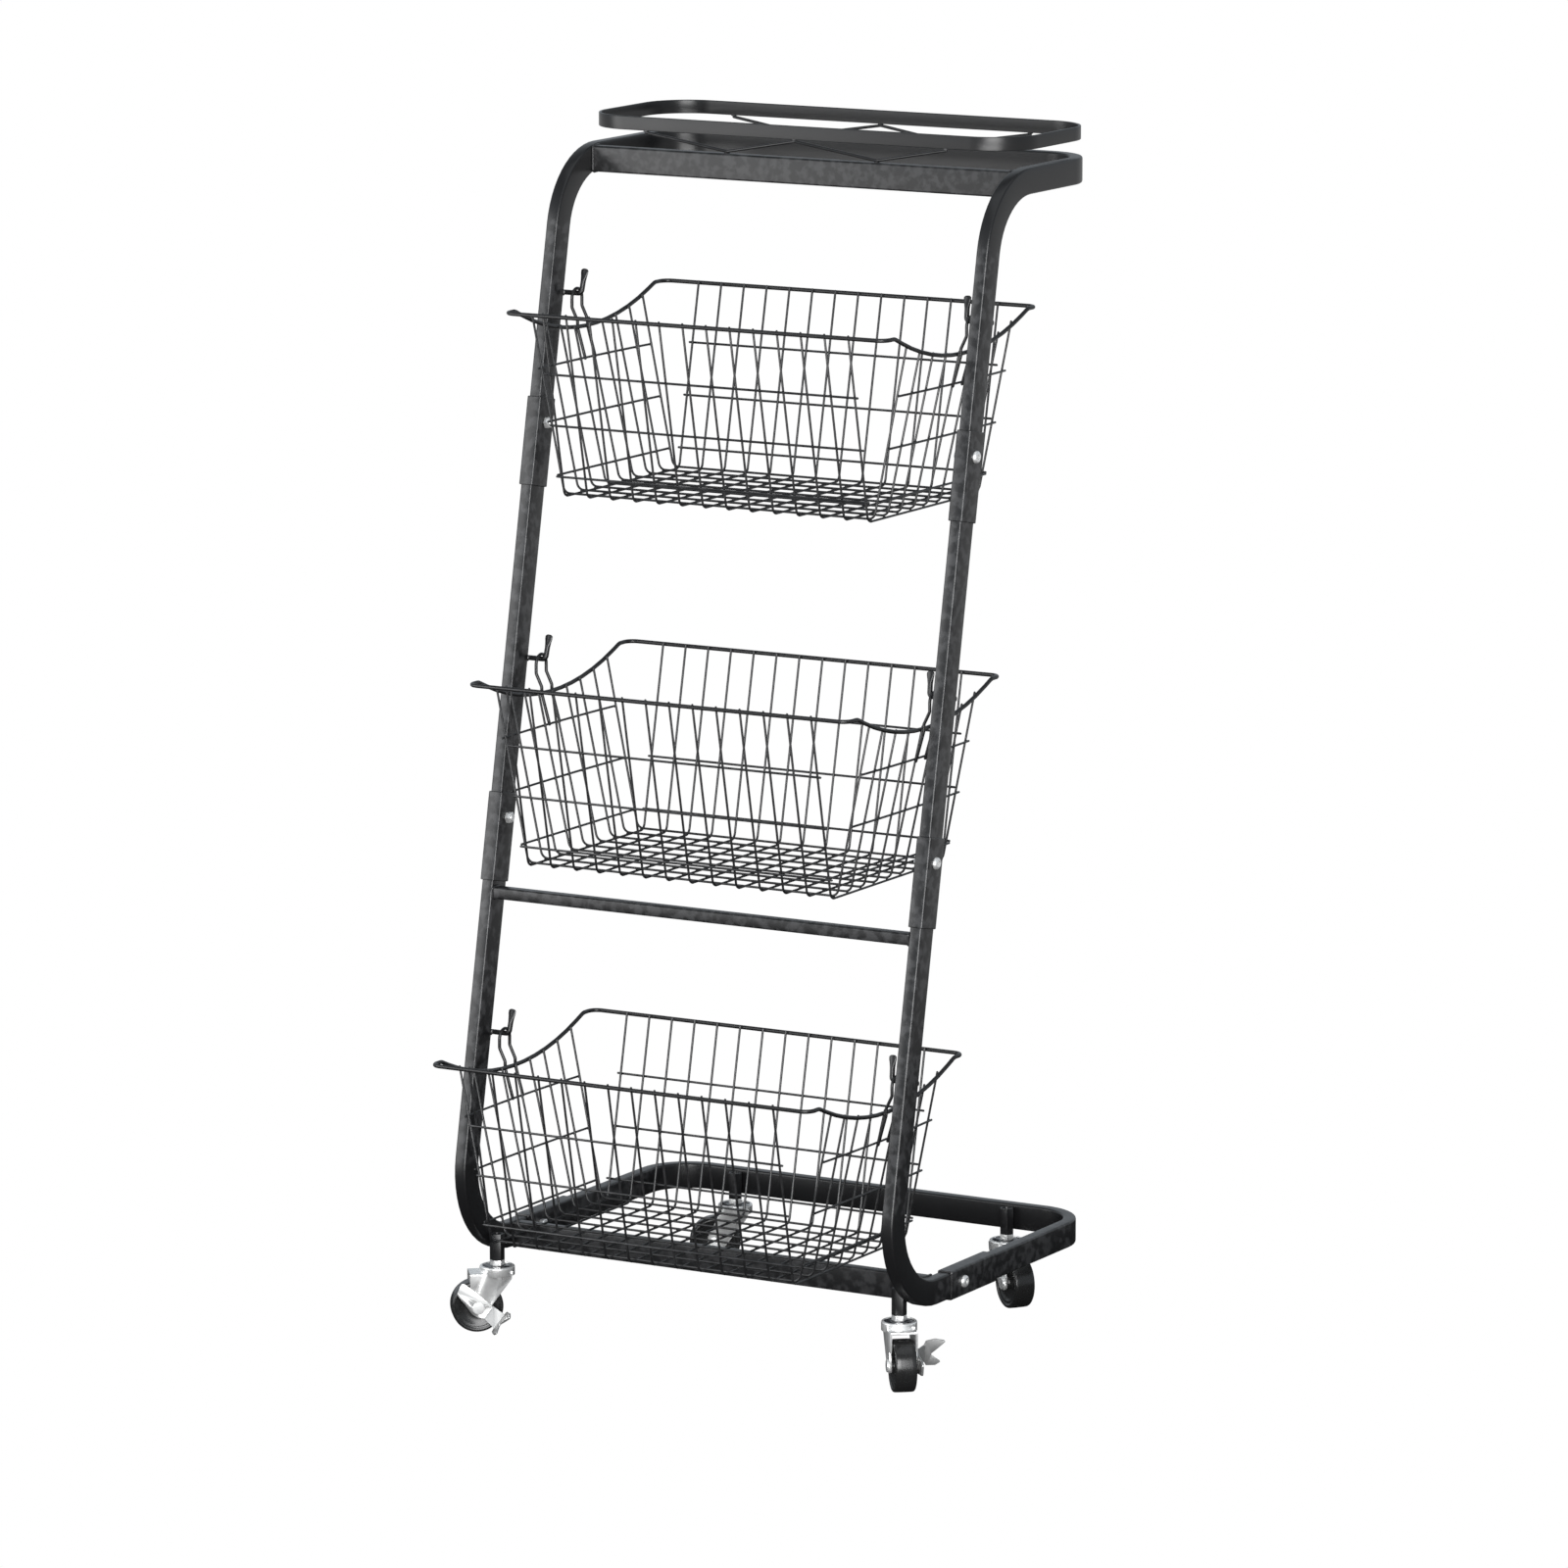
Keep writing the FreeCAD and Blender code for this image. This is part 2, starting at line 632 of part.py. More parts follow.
def rim_drop(y):
    """How far the side rim lies below the corners at a distance from its middle."""
    radius = dip_radius()
    flank_end = radius * math.sin(math.atan(size.dip_slope))
    if abs(y) < flank_end:
        return size.rim_dip - radius + math.sqrt(radius ** 2 - y ** 2)
    return max(0.0, (size.dip_reach - abs(y)) * size.dip_slope)


def rim_shape():
    w = size.rim_half_width
    d = size.rim_half_depth
    reach = size.dip_reach
    drop = dip_vertex_drop()
    points = [V(0, -d, 0), V(w, -d, 0), V(w, -reach, 0), V(w, 0, -drop), V(w, reach, 0),
              V(w, d, 0), V(-w, d, 0), V(-w, reach, 0), V(-w, 0, -drop), V(-w, -reach, 0),
              V(-w, -d, 0)]
    corner = size.rim_corner
    side = [corner, size.dip_blend, dip_radius(), size.dip_blend, corner]
    bends = [0.0] + side + side
    pieces = bent_path(points + [points[0]], bends + [0.0])
    return swept(pieces, rim_radius)


def long_wire_shape():
    """One U wire: down the front wall, along the floor and up the back wall."""
    top = size.wire_tip
    y_top = front_wire_top + wall_lean_y * top
    y_low = front_wire_top - wall_lean_y * size.basket_deep
    low = -size.basket_deep
    points = [V(0, -y_top, top), V(0, -y_low, low), V(0, y_low, low), V(0, y_top, top)]
    return wire_piece(points, size.grid_bend, grid_radius)


cross_floor = -size.basket_deep + size.grid_wire + size.weld_gap


def side_wall_x(y, z):
    """X of the side wires at a height; they lean in more steeply where the rim dips."""
    drop = rim_drop(y)
    share = (z - cross_floor) / (-drop - cross_floor)
    return size.floor_half_width + (side_wire_top - size.floor_half_width) * share


def cross_wire_shape(y):
    """One U wire: down one side wall, across the floor and up the other."""
    top = size.wire_tip - rim_drop(y)
    x_top = side_wall_x(y, top)
    x_low = size.floor_half_width
    points = [V(-x_top, y, top), V(-x_low, y, cross_floor), V(x_low, y, cross_floor),
              V(x_top, y, top)]
    return wire_piece(points, size.grid_bend, grid_radius)


def panel_wire_shapes():
    """Three rods on the outer side of each wall, crossing the upright wires."""
    spread = 2 * grid_radius + size.weld_gap
    rods = []
    for row in range(RODS):
        z = -size.rod_first - row * size.rod_pitch
        y = front_wire_top + wall_lean_y * z + spread / math.cos(math.atan(wall_lean_y))
        reach = size.side_rod_half
        for sign in (-1, 1):
            ends = [V(-size.front_rod_half, sign * y, z), V(size.front_rod_half, sign * y, z)]
            rods.append(swept([line(*ends)], grid_radius))
            x_end = side_wall_x(reach - 2, z) + spread
            x_mid = side_wall_x(0, z) + spread
            bow = Part.Arc(V(sign * x_end, -reach, z), V(sign * x_mid, 0, z),
                           V(sign * x_end, reach, z))
            rods.append(swept([bow], grid_radius))
    return rods


def hanger_shapes():
    """Arches that hook over the pegs; their legs run down outside the rim to a rod."""
    radius = size.hanger_wire / 2
    half = size.hanger_half
    foot = -size.rod_first - 1.0
    x_foot = side_wall_x(0, -size.rod_first) + 3 * grid_radius + radius + 2 * size.weld_gap
    x_rim = size.rim_half_width + rim_radius + radius + size.weld_gap
    z_rim = -rim_drop(half)
    z_top = size.peg_above_rim + size.peg_wire / 2 + radius + size.hang_clearance
    arches = []
    for sign in (-1, 1):
        points = []
        for y, order in ((-half, 1), (half, -1)):
            leg = [V(sign * x_foot, y, foot), V(sign * x_rim, y, z_rim - 1),
                   V(sign * x_rim, y, z_rim + 4), V(sign * size.hanger_plane, y, z_rim + 14),
                   V(sign * size.hanger_plane, y, z_top)]
            points += leg[::order]
        bends = [0, 4, 4, 4, half - 0.01, half - 0.01, 4, 4, 4, 0]
        arches.append(wire_piece(points, bends, radius))
    return arches


def build_baskets():
    half = (GRID_LONG - 1) / 2
    u_wire = long_wire_shape()
    longs = [u_wire.translated(V((i - half) * size.grid_pitch, 0, 0))
             for i in range(GRID_LONG)]
    middle = (GRID_CROSS - 1) / 2
    crosses = [cross_wire_shape((j - middle) * size.grid_pitch) for j in range(GRID_CROSS)]
    shapes = (("rim", rim_shape()), ("long_wires", Part.makeCompound(longs)),
              ("cross_wires", Part.makeCompound(crosses)),
              ("panel_wires", Part.makeCompound(panel_wire_shapes())),
              ("hangers", Part.makeCompound(hanger_shapes())))
    for name in BASKETS:
        for piece, shape in shapes:
            obj = shape_node("%s_basket_%s" % (name, piece), shape.copy())
            at(obj, 0, basket_y(name), basket_levels[name])


# ---------------------------------------------------------------- castors

def caster_place(sign, end, heading):
    """Placement of a castor: local X points along its trail, local Y to the lever side."""
    if end == "front":
        x, y = size.front_caster_x, size.front_caster_y
    else:
        x, y = size.rear_caster_x, size.frame_rear - size.tube_thick - size.socket_flats / 2
    return FreeCAD.Placement(V(sign * x, y, 0), FreeCAD.Rotation(Z_AXIS, heading))


wheel_radius = size.wheel_across / 2
arm_inner = size.hub_wide / 2 + size.side_gap
arm_outer = arm_inner + size.fork_plate
lever_inner = arm_outer + size.side_gap
lever_outer = lever_inner + size.lever_plate
crown_floor = size.crown_top - size.crown_high


def build_sockets_and_stems():
    """Threaded hexagon posts inside the base rail, and the stems screwed into them."""
    sockets = []
    stems = []
    races = []
    for name, sign, end, _, _ in CASTERS:
        place = caster_place(sign, end, 0.0).Base
        post = hexagon("post_" + name, "socket_flats", "socket_high")
        face_to_side = FreeCAD.Rotation(Z_AXIS, 30 if end == "front" else 0)
        at(post, place.x, place.y, size.socket_foot, face_to_side)
        bore = cylinder("post_bore_" + name, "thread_bore / 2", "socket_high + 2")
        at(bore, place.x, place.y, size.socket_foot - 1)
        sockets.append(cut("socket_" + name, post, bore))

        thread = cylinder("thread_" + name, "stem_across / 2", "socket_high - 2")
        at(thread, place.x, place.y, size.socket_foot - 1)
        collar = hexagon("collar_" + name, "socket_flats", "collar_high")
        collar_foot = size.socket_foot - size.weld_gap - size.collar_high
        at(collar, place.x, place.y, collar_foot, face_to_side)
        spindle_foot = crown_floor - size.side_gap - 1
        spindle = cylinder("spindle_" + name, "spindle_across / 2",
                           "%f" % (collar_foot - spindle_foot + 0.5))
        at(spindle, place.x, place.y, spindle_foot)
        rivet = cylinder("rivet_" + name, "spindle_across / 2 + 2", "1")
        at(rivet, place.x, place.y, spindle_foot)
        stems.append(fuse("stem_" + name, [thread, collar, spindle, rivet]))

        disc = cylinder("disc_" + name, "race_across / 2", "race_thick")
        at(disc, place.x, place.y, size.crown_top - size.race_thick - 0.4)
        hole = cylinder("disc_bore_" + name, "spindle_across / 2 + weld_gap", "race_thick + 2")
        at(hole, place.x, place.y, size.crown_top - size.race_thick - 1.4)
        races.append(cut("race_" + name, disc, hole))
    group("caster_sockets", sockets)
    group("caster_stems", stems)
    group("caster_races", races)


def ring_outline(points, bends):
    """A closed outline of straight runs and round corners, as a face in the XZ plane."""
    pieces = bent_path([V(x, 0, z) for x, z in points], bends, True)
    return Part.Face(Part.Wire([piece.toShape() for piece in pieces]))


def plate(points, bends, inner, thick):
    """A flat plate cut to an outline, from one Y outwards."""
    face = ring_outline(points, bends)
    face.translate(V(0, inner, 0))
    return face.extrude(V(0, thick, 0))


def fork_shape(braked):
    """Swivel fork: round crown with a recess for the race, and two arms to the axle."""
    radius = size.crown_across / 2
    boss = size.boss_across / 2
    axle_x, axle_z = size.trail, wheel_radius
    crown = Part.makeCylinder(radius, size.crown_high, V(0, 0, crown_floor))
    crown = crown.makeFillet(1.2, [crown.Edges[0]])
    recess = Part.makeCylinder(radius - 2.0, size.crown_recess,
                               V(0, 0, size.crown_top - size.crown_recess))
    arm_points = ((-radius + 2.6, size.crown_top - 3), (-radius + 3.4, crown_floor - 2),
                  (axle_x - boss, axle_z - boss * 0.9), (axle_x + boss, axle_z - boss),
                  (axle_x + boss, axle_z + boss), (radius - 2.6, size.crown_top - 3))
    arm_bends = (0.4, 3.0, boss * 0.7, boss * 0.8, 3.0, 0.4)
    solids = [crown]
    for sign in (-1, 1):
        inner = arm_inner if sign > 0 else -arm_outer
        solids.append(plate(arm_points, arm_bends, inner, size.fork_plate))
        skirt = Part.makeCone(arm_inner - 1.0, radius, 12, V(0, 0, crown_floor - 9))
        hollow = Part.makeCone(arm_inner - 2.4, radius - 1.4, 12, V(0, 0, crown_floor - 9))
        keep = Part.makeBox(2 * radius, radius, 12,
                            V(-radius, arm_inner if sign > 0 else -arm_inner - radius,
                              crown_floor - 9))
        solids.append(skirt.cut(hollow).common(keep))
    if braked:
        reach = size.box_reach
        top = size.crown_top - 4.4
        box = Part.makeBox(reach - 6, 2 * arm_outer, size.box_high,
                           V(6, -arm_outer, top - size.box_high))
        box = box.makeFillet(1.2, [e for e in box.Edges
                                   if abs(e.CenterOfMass.z - top) < 1e-6
                                   and abs(e.CenterOfMass.y) > 1])
        inside = Part.makeBox(reach, 2 * arm_inner, size.box_high,
                              V(4, -arm_inner, top - size.fork_plate - size.box_high))
        solids.append(box.cut(inside))
    fork = solids[0].fuse(solids[1:])
    bore = Part.makeCylinder(size.spindle_across / 2 + size.running_gap, 30,
                             V(0, 0, crown_floor - 1))
    wheel_room = Part.makeCylinder(wheel_radius + 1.0, 2 * arm_inner, V(axle_x, -arm_inner,
                                                                      axle_z), Y_AXIS)
    axle_bore = Part.makeCylinder(size.axle_across / 2 + size.weld_gap, 4 * arm_outer,
                                  V(axle_x, -2 * arm_outer, axle_z), Y_AXIS)
    return fork.cut([recess, bore, wheel_room, axle_bore]).removeSplitter()


def axle_shape(braked):
    """Riveted axle: a pin with a round head outside each arm, past the lever if any."""
    radius = size.axle_across / 2
    head = size.axle_head_across / 2
    low = -arm_outer - size.weld_gap - size.axle_head_thick
    high = arm_outer + size.weld_gap
    if braked:
        high = lever_outer + size.side_gap
    pin = Part.makeCylinder(radius, high - low, V(size.trail, low, wheel_radius), Y_AXIS)
    heads = []
    for start in (low, high):
        cap = Part.makeCylinder(head, size.axle_head_thick,
                                V(size.trail, start, wheel_radius), Y_AXIS)
        outer = start if start == low else start + size.axle_head_thick
        edge = [e for e in cap.Edges if abs(e.CenterOfMass.y - outer) < 1e-6
                and e.Closed]
        heads.append(cap.makeFillet(0.6, edge))
    return pin.fuse(heads).removeSplitter()


def build_wheel(name, place):
    """Solid wheel turned in one piece: tread, dished sides and a hub on a bore."""
    label = "%s_wheel" % name
    body = doc.addObject("PartDesign::Body", label)
    sketch = new_sketch(body, label + "_half", "XY_Plane")
    bore = size.axle_across / 2 + size.running_gap
    hub = size.hub_across / 2
    half = size.wheel_wide / 2
    web = half - size.dish_deep
    hub_half = size.hub_wide / 2
    right_side = [(bore, hub_half), (hub, hub_half), (hub + 0.8, web),
                  (wheel_radius - 3.2, web), (wheel_radius - 2.2, half),
                  (wheel_radius - 0.9, half), (wheel_radius, half - 0.9)]
    outline = right_side + [(r, -y) for r, y in reversed(right_side)]
    for index, start in enumerate(outline):
        end = outline[(index + 1) % len(outline)]
        sketch.addGeometry(line(V(*start, 0), V(*end, 0)))
    for index in range(len(outline)):
        following = (index + 1) % len(outline)
        sketch.addConstraint(Sketcher.Constraint("Coincident", index, 2, following, 1))
    turned = body.newObject("PartDesign::Revolution", label + "_turned")
    turned.Profile = sketch
    turned.ReferenceAxis = (sketch, ["V_Axis"])
    turned.Angle = 360
    body.Placement = place.multiply(FreeCAD.Placement(V(size.trail, 0, wheel_radius),
                                                      FreeCAD.Rotation()))
    return node(body, label)


def bent_tab(outline, bends, foot, across, ahead):
    """A plate given by points across and ahead of a fold, centred on its thickness."""
    corners = [foot + across * a + ahead * b for a, b in outline]
    pieces = bent_path(corners, bends, True)
    tab = Part.Face(Part.Wire([piece.toShape() for piece in pieces]))
    square = across.cross(ahead).normalize() * size.lever_plate
    tab.translate(square * -0.5)
    return tab.extrude(square)


def lever_shape():
    """Stamped brake lever: plate on the axle, a bent shoulder and a forked claw."""
    thick = size.lever_plate
    trail, axle_z = size.trail, wheel_radius
    outline = ((trail + 12.5, axle_z + 20.4), (trail + 16.6, axle_z + 11.0),
               (trail + 11.0, axle_z + 4.0), (trail + 5.0, axle_z - 4.5),
               (trail + 0.5, axle_z - 7.6), (trail - 5.0, axle_z - 8.2),
               (trail - 11.6, axle_z + 0.4), (trail + 6.0, axle_z + 15.8))
    bends = (2.0, 4.0, 6.0, 5.0, 5.0, 0.4, 0.4, 12.0)
    body = plate(outline, bends, lever_inner, thick)
    across = V(-0.612, 0, 0.791)

    def ahead(splay):
        out = math.radians(splay)
        return V(-0.791 * math.cos(out), math.sin(out), -0.612 * math.cos(out))

    fold = V(trail - 8.3, lever_inner + thick * 0.7, axle_z - 3.9)
    rise = ahead(size.shoulder_splay)
    shoulder = bent_tab(((-5.8, -0.6), (5.8, -0.6), (6.6, size.shoulder_long),
                         (-6.6, size.shoulder_long)), 0.3, fold, across, rise)
    claw = bent_tab(((-6.6, -0.6), (6.6, -0.6), (9.6, 0.8), (11.0, 8.0), (9.0, 16.2),
                     (3.4, 9.8), (-1.0, 4.2), (-3.8, 7.6), (-7.2, 12.4), (-9.8, 8.0),
                     (-9.6, 0.8)),
                    (0.3, 0.3, 1.0, 5.0, 0.8, 6.0, 1.2, 2.5, 0.8, 2.5, 1.0),
                    fold + rise * size.shoulder_long, across, ahead(size.claw_splay))
    lever = body.fuse([shoulder, claw])
    bore = Part.makeCylinder(size.axle_across / 2 + size.running_gap, 4 * thick,
                             V(trail, lever_inner - thick, axle_z), Y_AXIS)
    return lever.cut(bore).removeSplitter()


def build_casters():
    for name, sign, end, heading, lever_turn in CASTERS:
        place = caster_place(sign, end, heading)
        braked = lever_turn is not None
        shape_node(name + "_fork", fork_shape(braked)).Placement = place
        shape_node(name + "_axle", axle_shape(braked)).Placement = place
        build_wheel(name, place)
        if braked:
            pivot = V(size.trail, 0, wheel_radius)
            turn = FreeCAD.Rotation(Y_AXIS, lever_turn * size.lever_throw)
            about = FreeCAD.Placement(V(0, 0, 0), turn, pivot)
            lever = shape_node(name + "_brake_lever", lever_shape())
            lever.Placement = place.multiply(about)


def write_parts():
    doc.recompute()
    for obj in doc.Objects:
        if "Invalid" in obj.State or "Error" in obj.State:
            raise RuntimeError("%s failed: %s" % (obj.Label, obj.State))
    for obj in nodes:
        if obj.Shape.isNull() or not obj.Shape.isValid() or not obj.Shape.Solids:
            raise RuntimeError("%s has no valid solid" % obj.Label)
    os.makedirs("parts", exist_ok=True)
    for obj in nodes:
        obj.Shape.exportStep("parts/%s.step" % obj.Label)


build_frame()
build_bolts()
build_guard()
build_pegs()
build_baskets()
build_sockets_and_stems()
build_casters()
write_parts()
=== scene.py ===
"""Looks of a rolling utility cart: bent tube frame, wire baskets, guard ring and castors.

Sizes are in millimetres in the classes and become metres where a mesh is made. X runs
across the front, Y to the back and Z up, with the wheels standing on Z = 0.
"""

import json
import logging
import math
from dataclasses import dataclass, field
from enum import Enum

import bmesh
import bpy
import numpy as np
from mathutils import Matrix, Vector
from numpy.typing import NDArray


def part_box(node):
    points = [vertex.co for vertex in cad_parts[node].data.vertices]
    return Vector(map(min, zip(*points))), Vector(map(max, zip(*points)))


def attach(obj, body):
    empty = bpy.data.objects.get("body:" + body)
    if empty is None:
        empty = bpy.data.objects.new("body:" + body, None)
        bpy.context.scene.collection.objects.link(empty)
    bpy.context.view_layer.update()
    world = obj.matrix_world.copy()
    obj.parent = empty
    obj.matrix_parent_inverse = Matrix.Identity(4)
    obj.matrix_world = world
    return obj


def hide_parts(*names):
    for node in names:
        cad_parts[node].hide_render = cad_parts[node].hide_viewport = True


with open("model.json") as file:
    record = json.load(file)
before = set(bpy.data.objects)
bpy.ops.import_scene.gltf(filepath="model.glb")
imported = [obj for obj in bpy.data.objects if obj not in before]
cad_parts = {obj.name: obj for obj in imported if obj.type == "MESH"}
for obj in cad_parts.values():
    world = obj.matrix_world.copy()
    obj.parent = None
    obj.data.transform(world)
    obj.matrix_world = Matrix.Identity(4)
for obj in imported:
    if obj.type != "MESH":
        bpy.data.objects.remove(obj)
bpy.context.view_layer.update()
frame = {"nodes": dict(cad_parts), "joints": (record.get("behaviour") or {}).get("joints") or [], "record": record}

Array = NDArray[np.float64]
log = logging.getLogger("cart")

MM = 0.001
X_AXIS = np.array((1.0, 0.0, 0.0))
Y_AXIS = np.array((0.0, 1.0, 0.0))
Z_AXIS = np.array((0.0, 0.0, 1.0))
SIDES = (("left", -1), ("right", 1))

# the colour sockets of a Mix node, which share their names with its other kinds
COLOUR_FROM = 6
COLOUR_TO = 7
COLOUR_OUT = 2


class Slot(Enum):
    """The record's material slots."""

    FRAME = "frame_black"
    WIRE = "wire_black"
    BRIGHT = "bright_zinc"
    SATIN = "satin_zinc"
    DARK = "dark_steel"
    WHEEL = "wheel_black"


class End(Enum):
    """How the two ends of a bar or wire are closed, as (lift, size) in shares of a radius."""

    FLAT = ((0.0, 1.0),)
    EASED = ((0.0, 1.0), (0.5, 0.97), (0.8, 0.9))
    ROUND = ((0.42, 0.91), (0.77, 0.64), (0.95, 0.31))


# ---------------------------------------------------------------- curves and surfaces

def unit(vectors: Array) -> Array:
    """Vectors divided by their own length along the last axis."""
    length = np.linalg.norm(vectors, axis=-1, keepdims=True)
    return vectors / np.maximum(length, 1e-12)


def rounded_path(corners: Array, bends: Array | float, steps: int = 7,
                 closed: bool = False) -> Array:
    """A path of straight runs joined by circular arcs.

    At a corner where the path turns by an angle T with bend radius r, the arc starts r tan(T/2)
    before the corner; its points are start + r sin(f) along the run + r (1 - cos(f)) inwards,
    for f from 0 to T.

    Args:
        corners: Corner points, one row each.
        bends: Bend radius at every corner, or one for all of them.
        steps: Points on each arc.
        closed: Whether the last corner joins the first.

    Returns:
        The path's points, one row each.
    """
    corners = np.asarray(corners, float)
    radius = np.broadcast_to(np.asarray(bends, float), (len(corners),))
    before = unit(corners - np.roll(corners, 1, 0))
    after = unit(np.roll(corners, -1, 0) - corners)
    aligned = np.clip((before * after).sum(-1), -1.0, 1.0)
    turn = np.arccos(aligned)
    start = corners - before * (radius * np.tan(turn / 2))[:, None]
    inward = unit(after - aligned[:, None] * before)
    angle = (turn[:, None] * np.linspace(0.0, 1.0, steps))[..., None]
    arcs = start[:, None] + radius[:, None, None] * (
        np.sin(angle) * before[:, None] + (1 - np.cos(angle)) * inward[:, None])
    if closed:
        path = arcs.reshape(-1, 3)
    else:
        path = np.concatenate([corners[:1], arcs[1:-1].reshape(-1, 3), corners[-1:]])
    fresh = np.linalg.norm(path - np.roll(path, 1, 0), axis=1) > 1e-6
    fresh[0] = fresh[0] or not closed
    return path[fresh]


def circle(radius: float, count: int = 8) -> Array:
    """Points (r cos t, r sin t) round a circle."""
    angle = np.linspace(0.0, 2 * np.pi, count, endpoint=False)
    return radius * np.stack([np.cos(angle), np.sin(angle)], -1)


def rounded_rectangle(wide: float, high: float, corner: float, steps: int = 5) -> Array:
    """An outline of four quarter circles of one corner radius, joined by straight sides."""
    angle = np.linspace(0.0, np.pi / 2, steps)
    quarter = corner * np.stack([np.cos(angle), np.sin(angle)], -1)
    turns = np.array([[[1, 0], [0, 1]], [[0, -1], [1, 0]], [[-1, 0], [0, -1]],
                      [[0, 1], [-1, 0]]], float)
    centre = np.array([wide / 2 - corner, high / 2 - corner])
    signs = np.array([[1, 1], [-1, 1], [-1, -1], [1, -1]], float)
    arcs = np.einsum("qij,sj->qsi", turns, quarter) + (signs * centre)[:, None]
    return arcs.reshape(-1, 2)


def directions(path: Array, closed: bool = False) -> Array:
    """The unit direction at each point: the bisector of the runs before and after it."""
    ahead = unit(np.roll(path, -1, 0) - path)
    behind = np.roll(ahead, 1, 0)
    if not closed:
        ahead[-1] = ahead[-2]
        behind[0] = ahead[0]
    return unit(ahead + behind)


def swept(path: Array, outline: Array, side: Array, closed: bool = False,
          end: End = End.ROUND, ease: float = 0.0) -> Array:
    """A section carried along a path.

    At each point the section's first coordinate runs along the side direction made square
    to the path, and its second along path x side. Each end gets extra rings that step
    outwards by ease x lift while they shrink, as End gives them.

    Args:
        path: The path's points.
        outline: The section, the same everywhere or one per path point.
        side: The side direction, the same everywhere or one per path point.
        closed: Whether the path joins up.
        end: How the ends are closed.
        ease: How far the ends' rings reach out.

    Returns:
        A grid of points, rows along the path and columns round the section.
    """
    along = directions(path, closed)
    up = unit(np.cross(along, side))
    across = np.cross(up, along)
    grid = path[:, None] + outline[..., :1] * across[:, None] + outline[..., 1:] * up[:, None]
    if closed or not ease:
        return grid
    lift, size = np.array(end.value)[:, :, None, None].swapaxes(0, 1)
    first = path[0] - along[0] * lift * ease + (grid[0] - path[0]) * size
    last = path[-1] + along[-1] * lift * ease + (grid[-1] - path[-1]) * size
    return np.concatenate([first[::-1], grid, last])


def level_sides(path: Array, closed: bool = False) -> Array:
    """At each point, the level direction square to the path's heading on plan."""
    heading = directions(path, closed) * np.array((1.0, 1.0, 0.0))
    return unit(np.cross(heading, Z_AXIS))


def turned(profile: Array, count: int = 48) -> Array:
    """A profile of (radius, height) turned round Z: (r cos t, r sin t, h)."""
    angle = np.linspace(0.0, 2 * np.pi, count, endpoint=False)
    ring = np.stack([np.cos(angle), np.sin(angle), np.zeros(count)], -1)
    return profile[:, None, :1] * ring + profile[:, None, 1:] * Z_AXIS


def hexed(profile: Array, share: Array, count: int = 48) -> Array:
    """A turned profile whose rings go from round (share 0) to hexagonal (share 1).

    A hexagon's radius at an angle t is its half-width over cos of t's distance from the
    middle of the nearest flat; each ring mixes that with the round radius by its share.
    """
    angle = np.linspace(0.0, 2 * np.pi, count, endpoint=False)
    off = (angle + np.pi / 6) % (np.pi / 3) - np.pi / 6
    swell = 1 + share[:, None] * (1 / np.cos(off) - 1)
    grid = turned(profile, count)
    grid[..., :2] *= swell[..., None]
    return grid


def beads(centres: Array, radii: tuple[float, float, float]) -> Array:
    """Small ellipsoids, one at each centre: (a cos u cos v, b cos u sin v, c sin u)."""
    rise = np.radians((-62.0, -25.0, 25.0, 62.0))
    angle = np.linspace(0.0, 2 * np.pi, 7, endpoint=False)
    ball = np.stack([np.cos(rise)[:, None] * np.cos(angle),
                     np.cos(rise)[:, None] * np.sin(angle),
                     np.broadcast_to(np.sin(rise)[:, None], (4, 7))], -1)
    return np.asarray(centres, float)[:, None, None] + ball * np.array(radii)


def moved(grid: Array, place: tuple[float, float, float], heading: float = 0.0) -> Array:
    """A grid turned about Z by a heading in degrees, then moved to a place."""
    angle = math.radians(heading)
    turn = np.array([[math.cos(angle), math.sin(angle), 0.0],
                     [-math.sin(angle), math.cos(angle), 0.0], [0.0, 0.0, 1.0]])
    return grid @ turn + np.array(place)


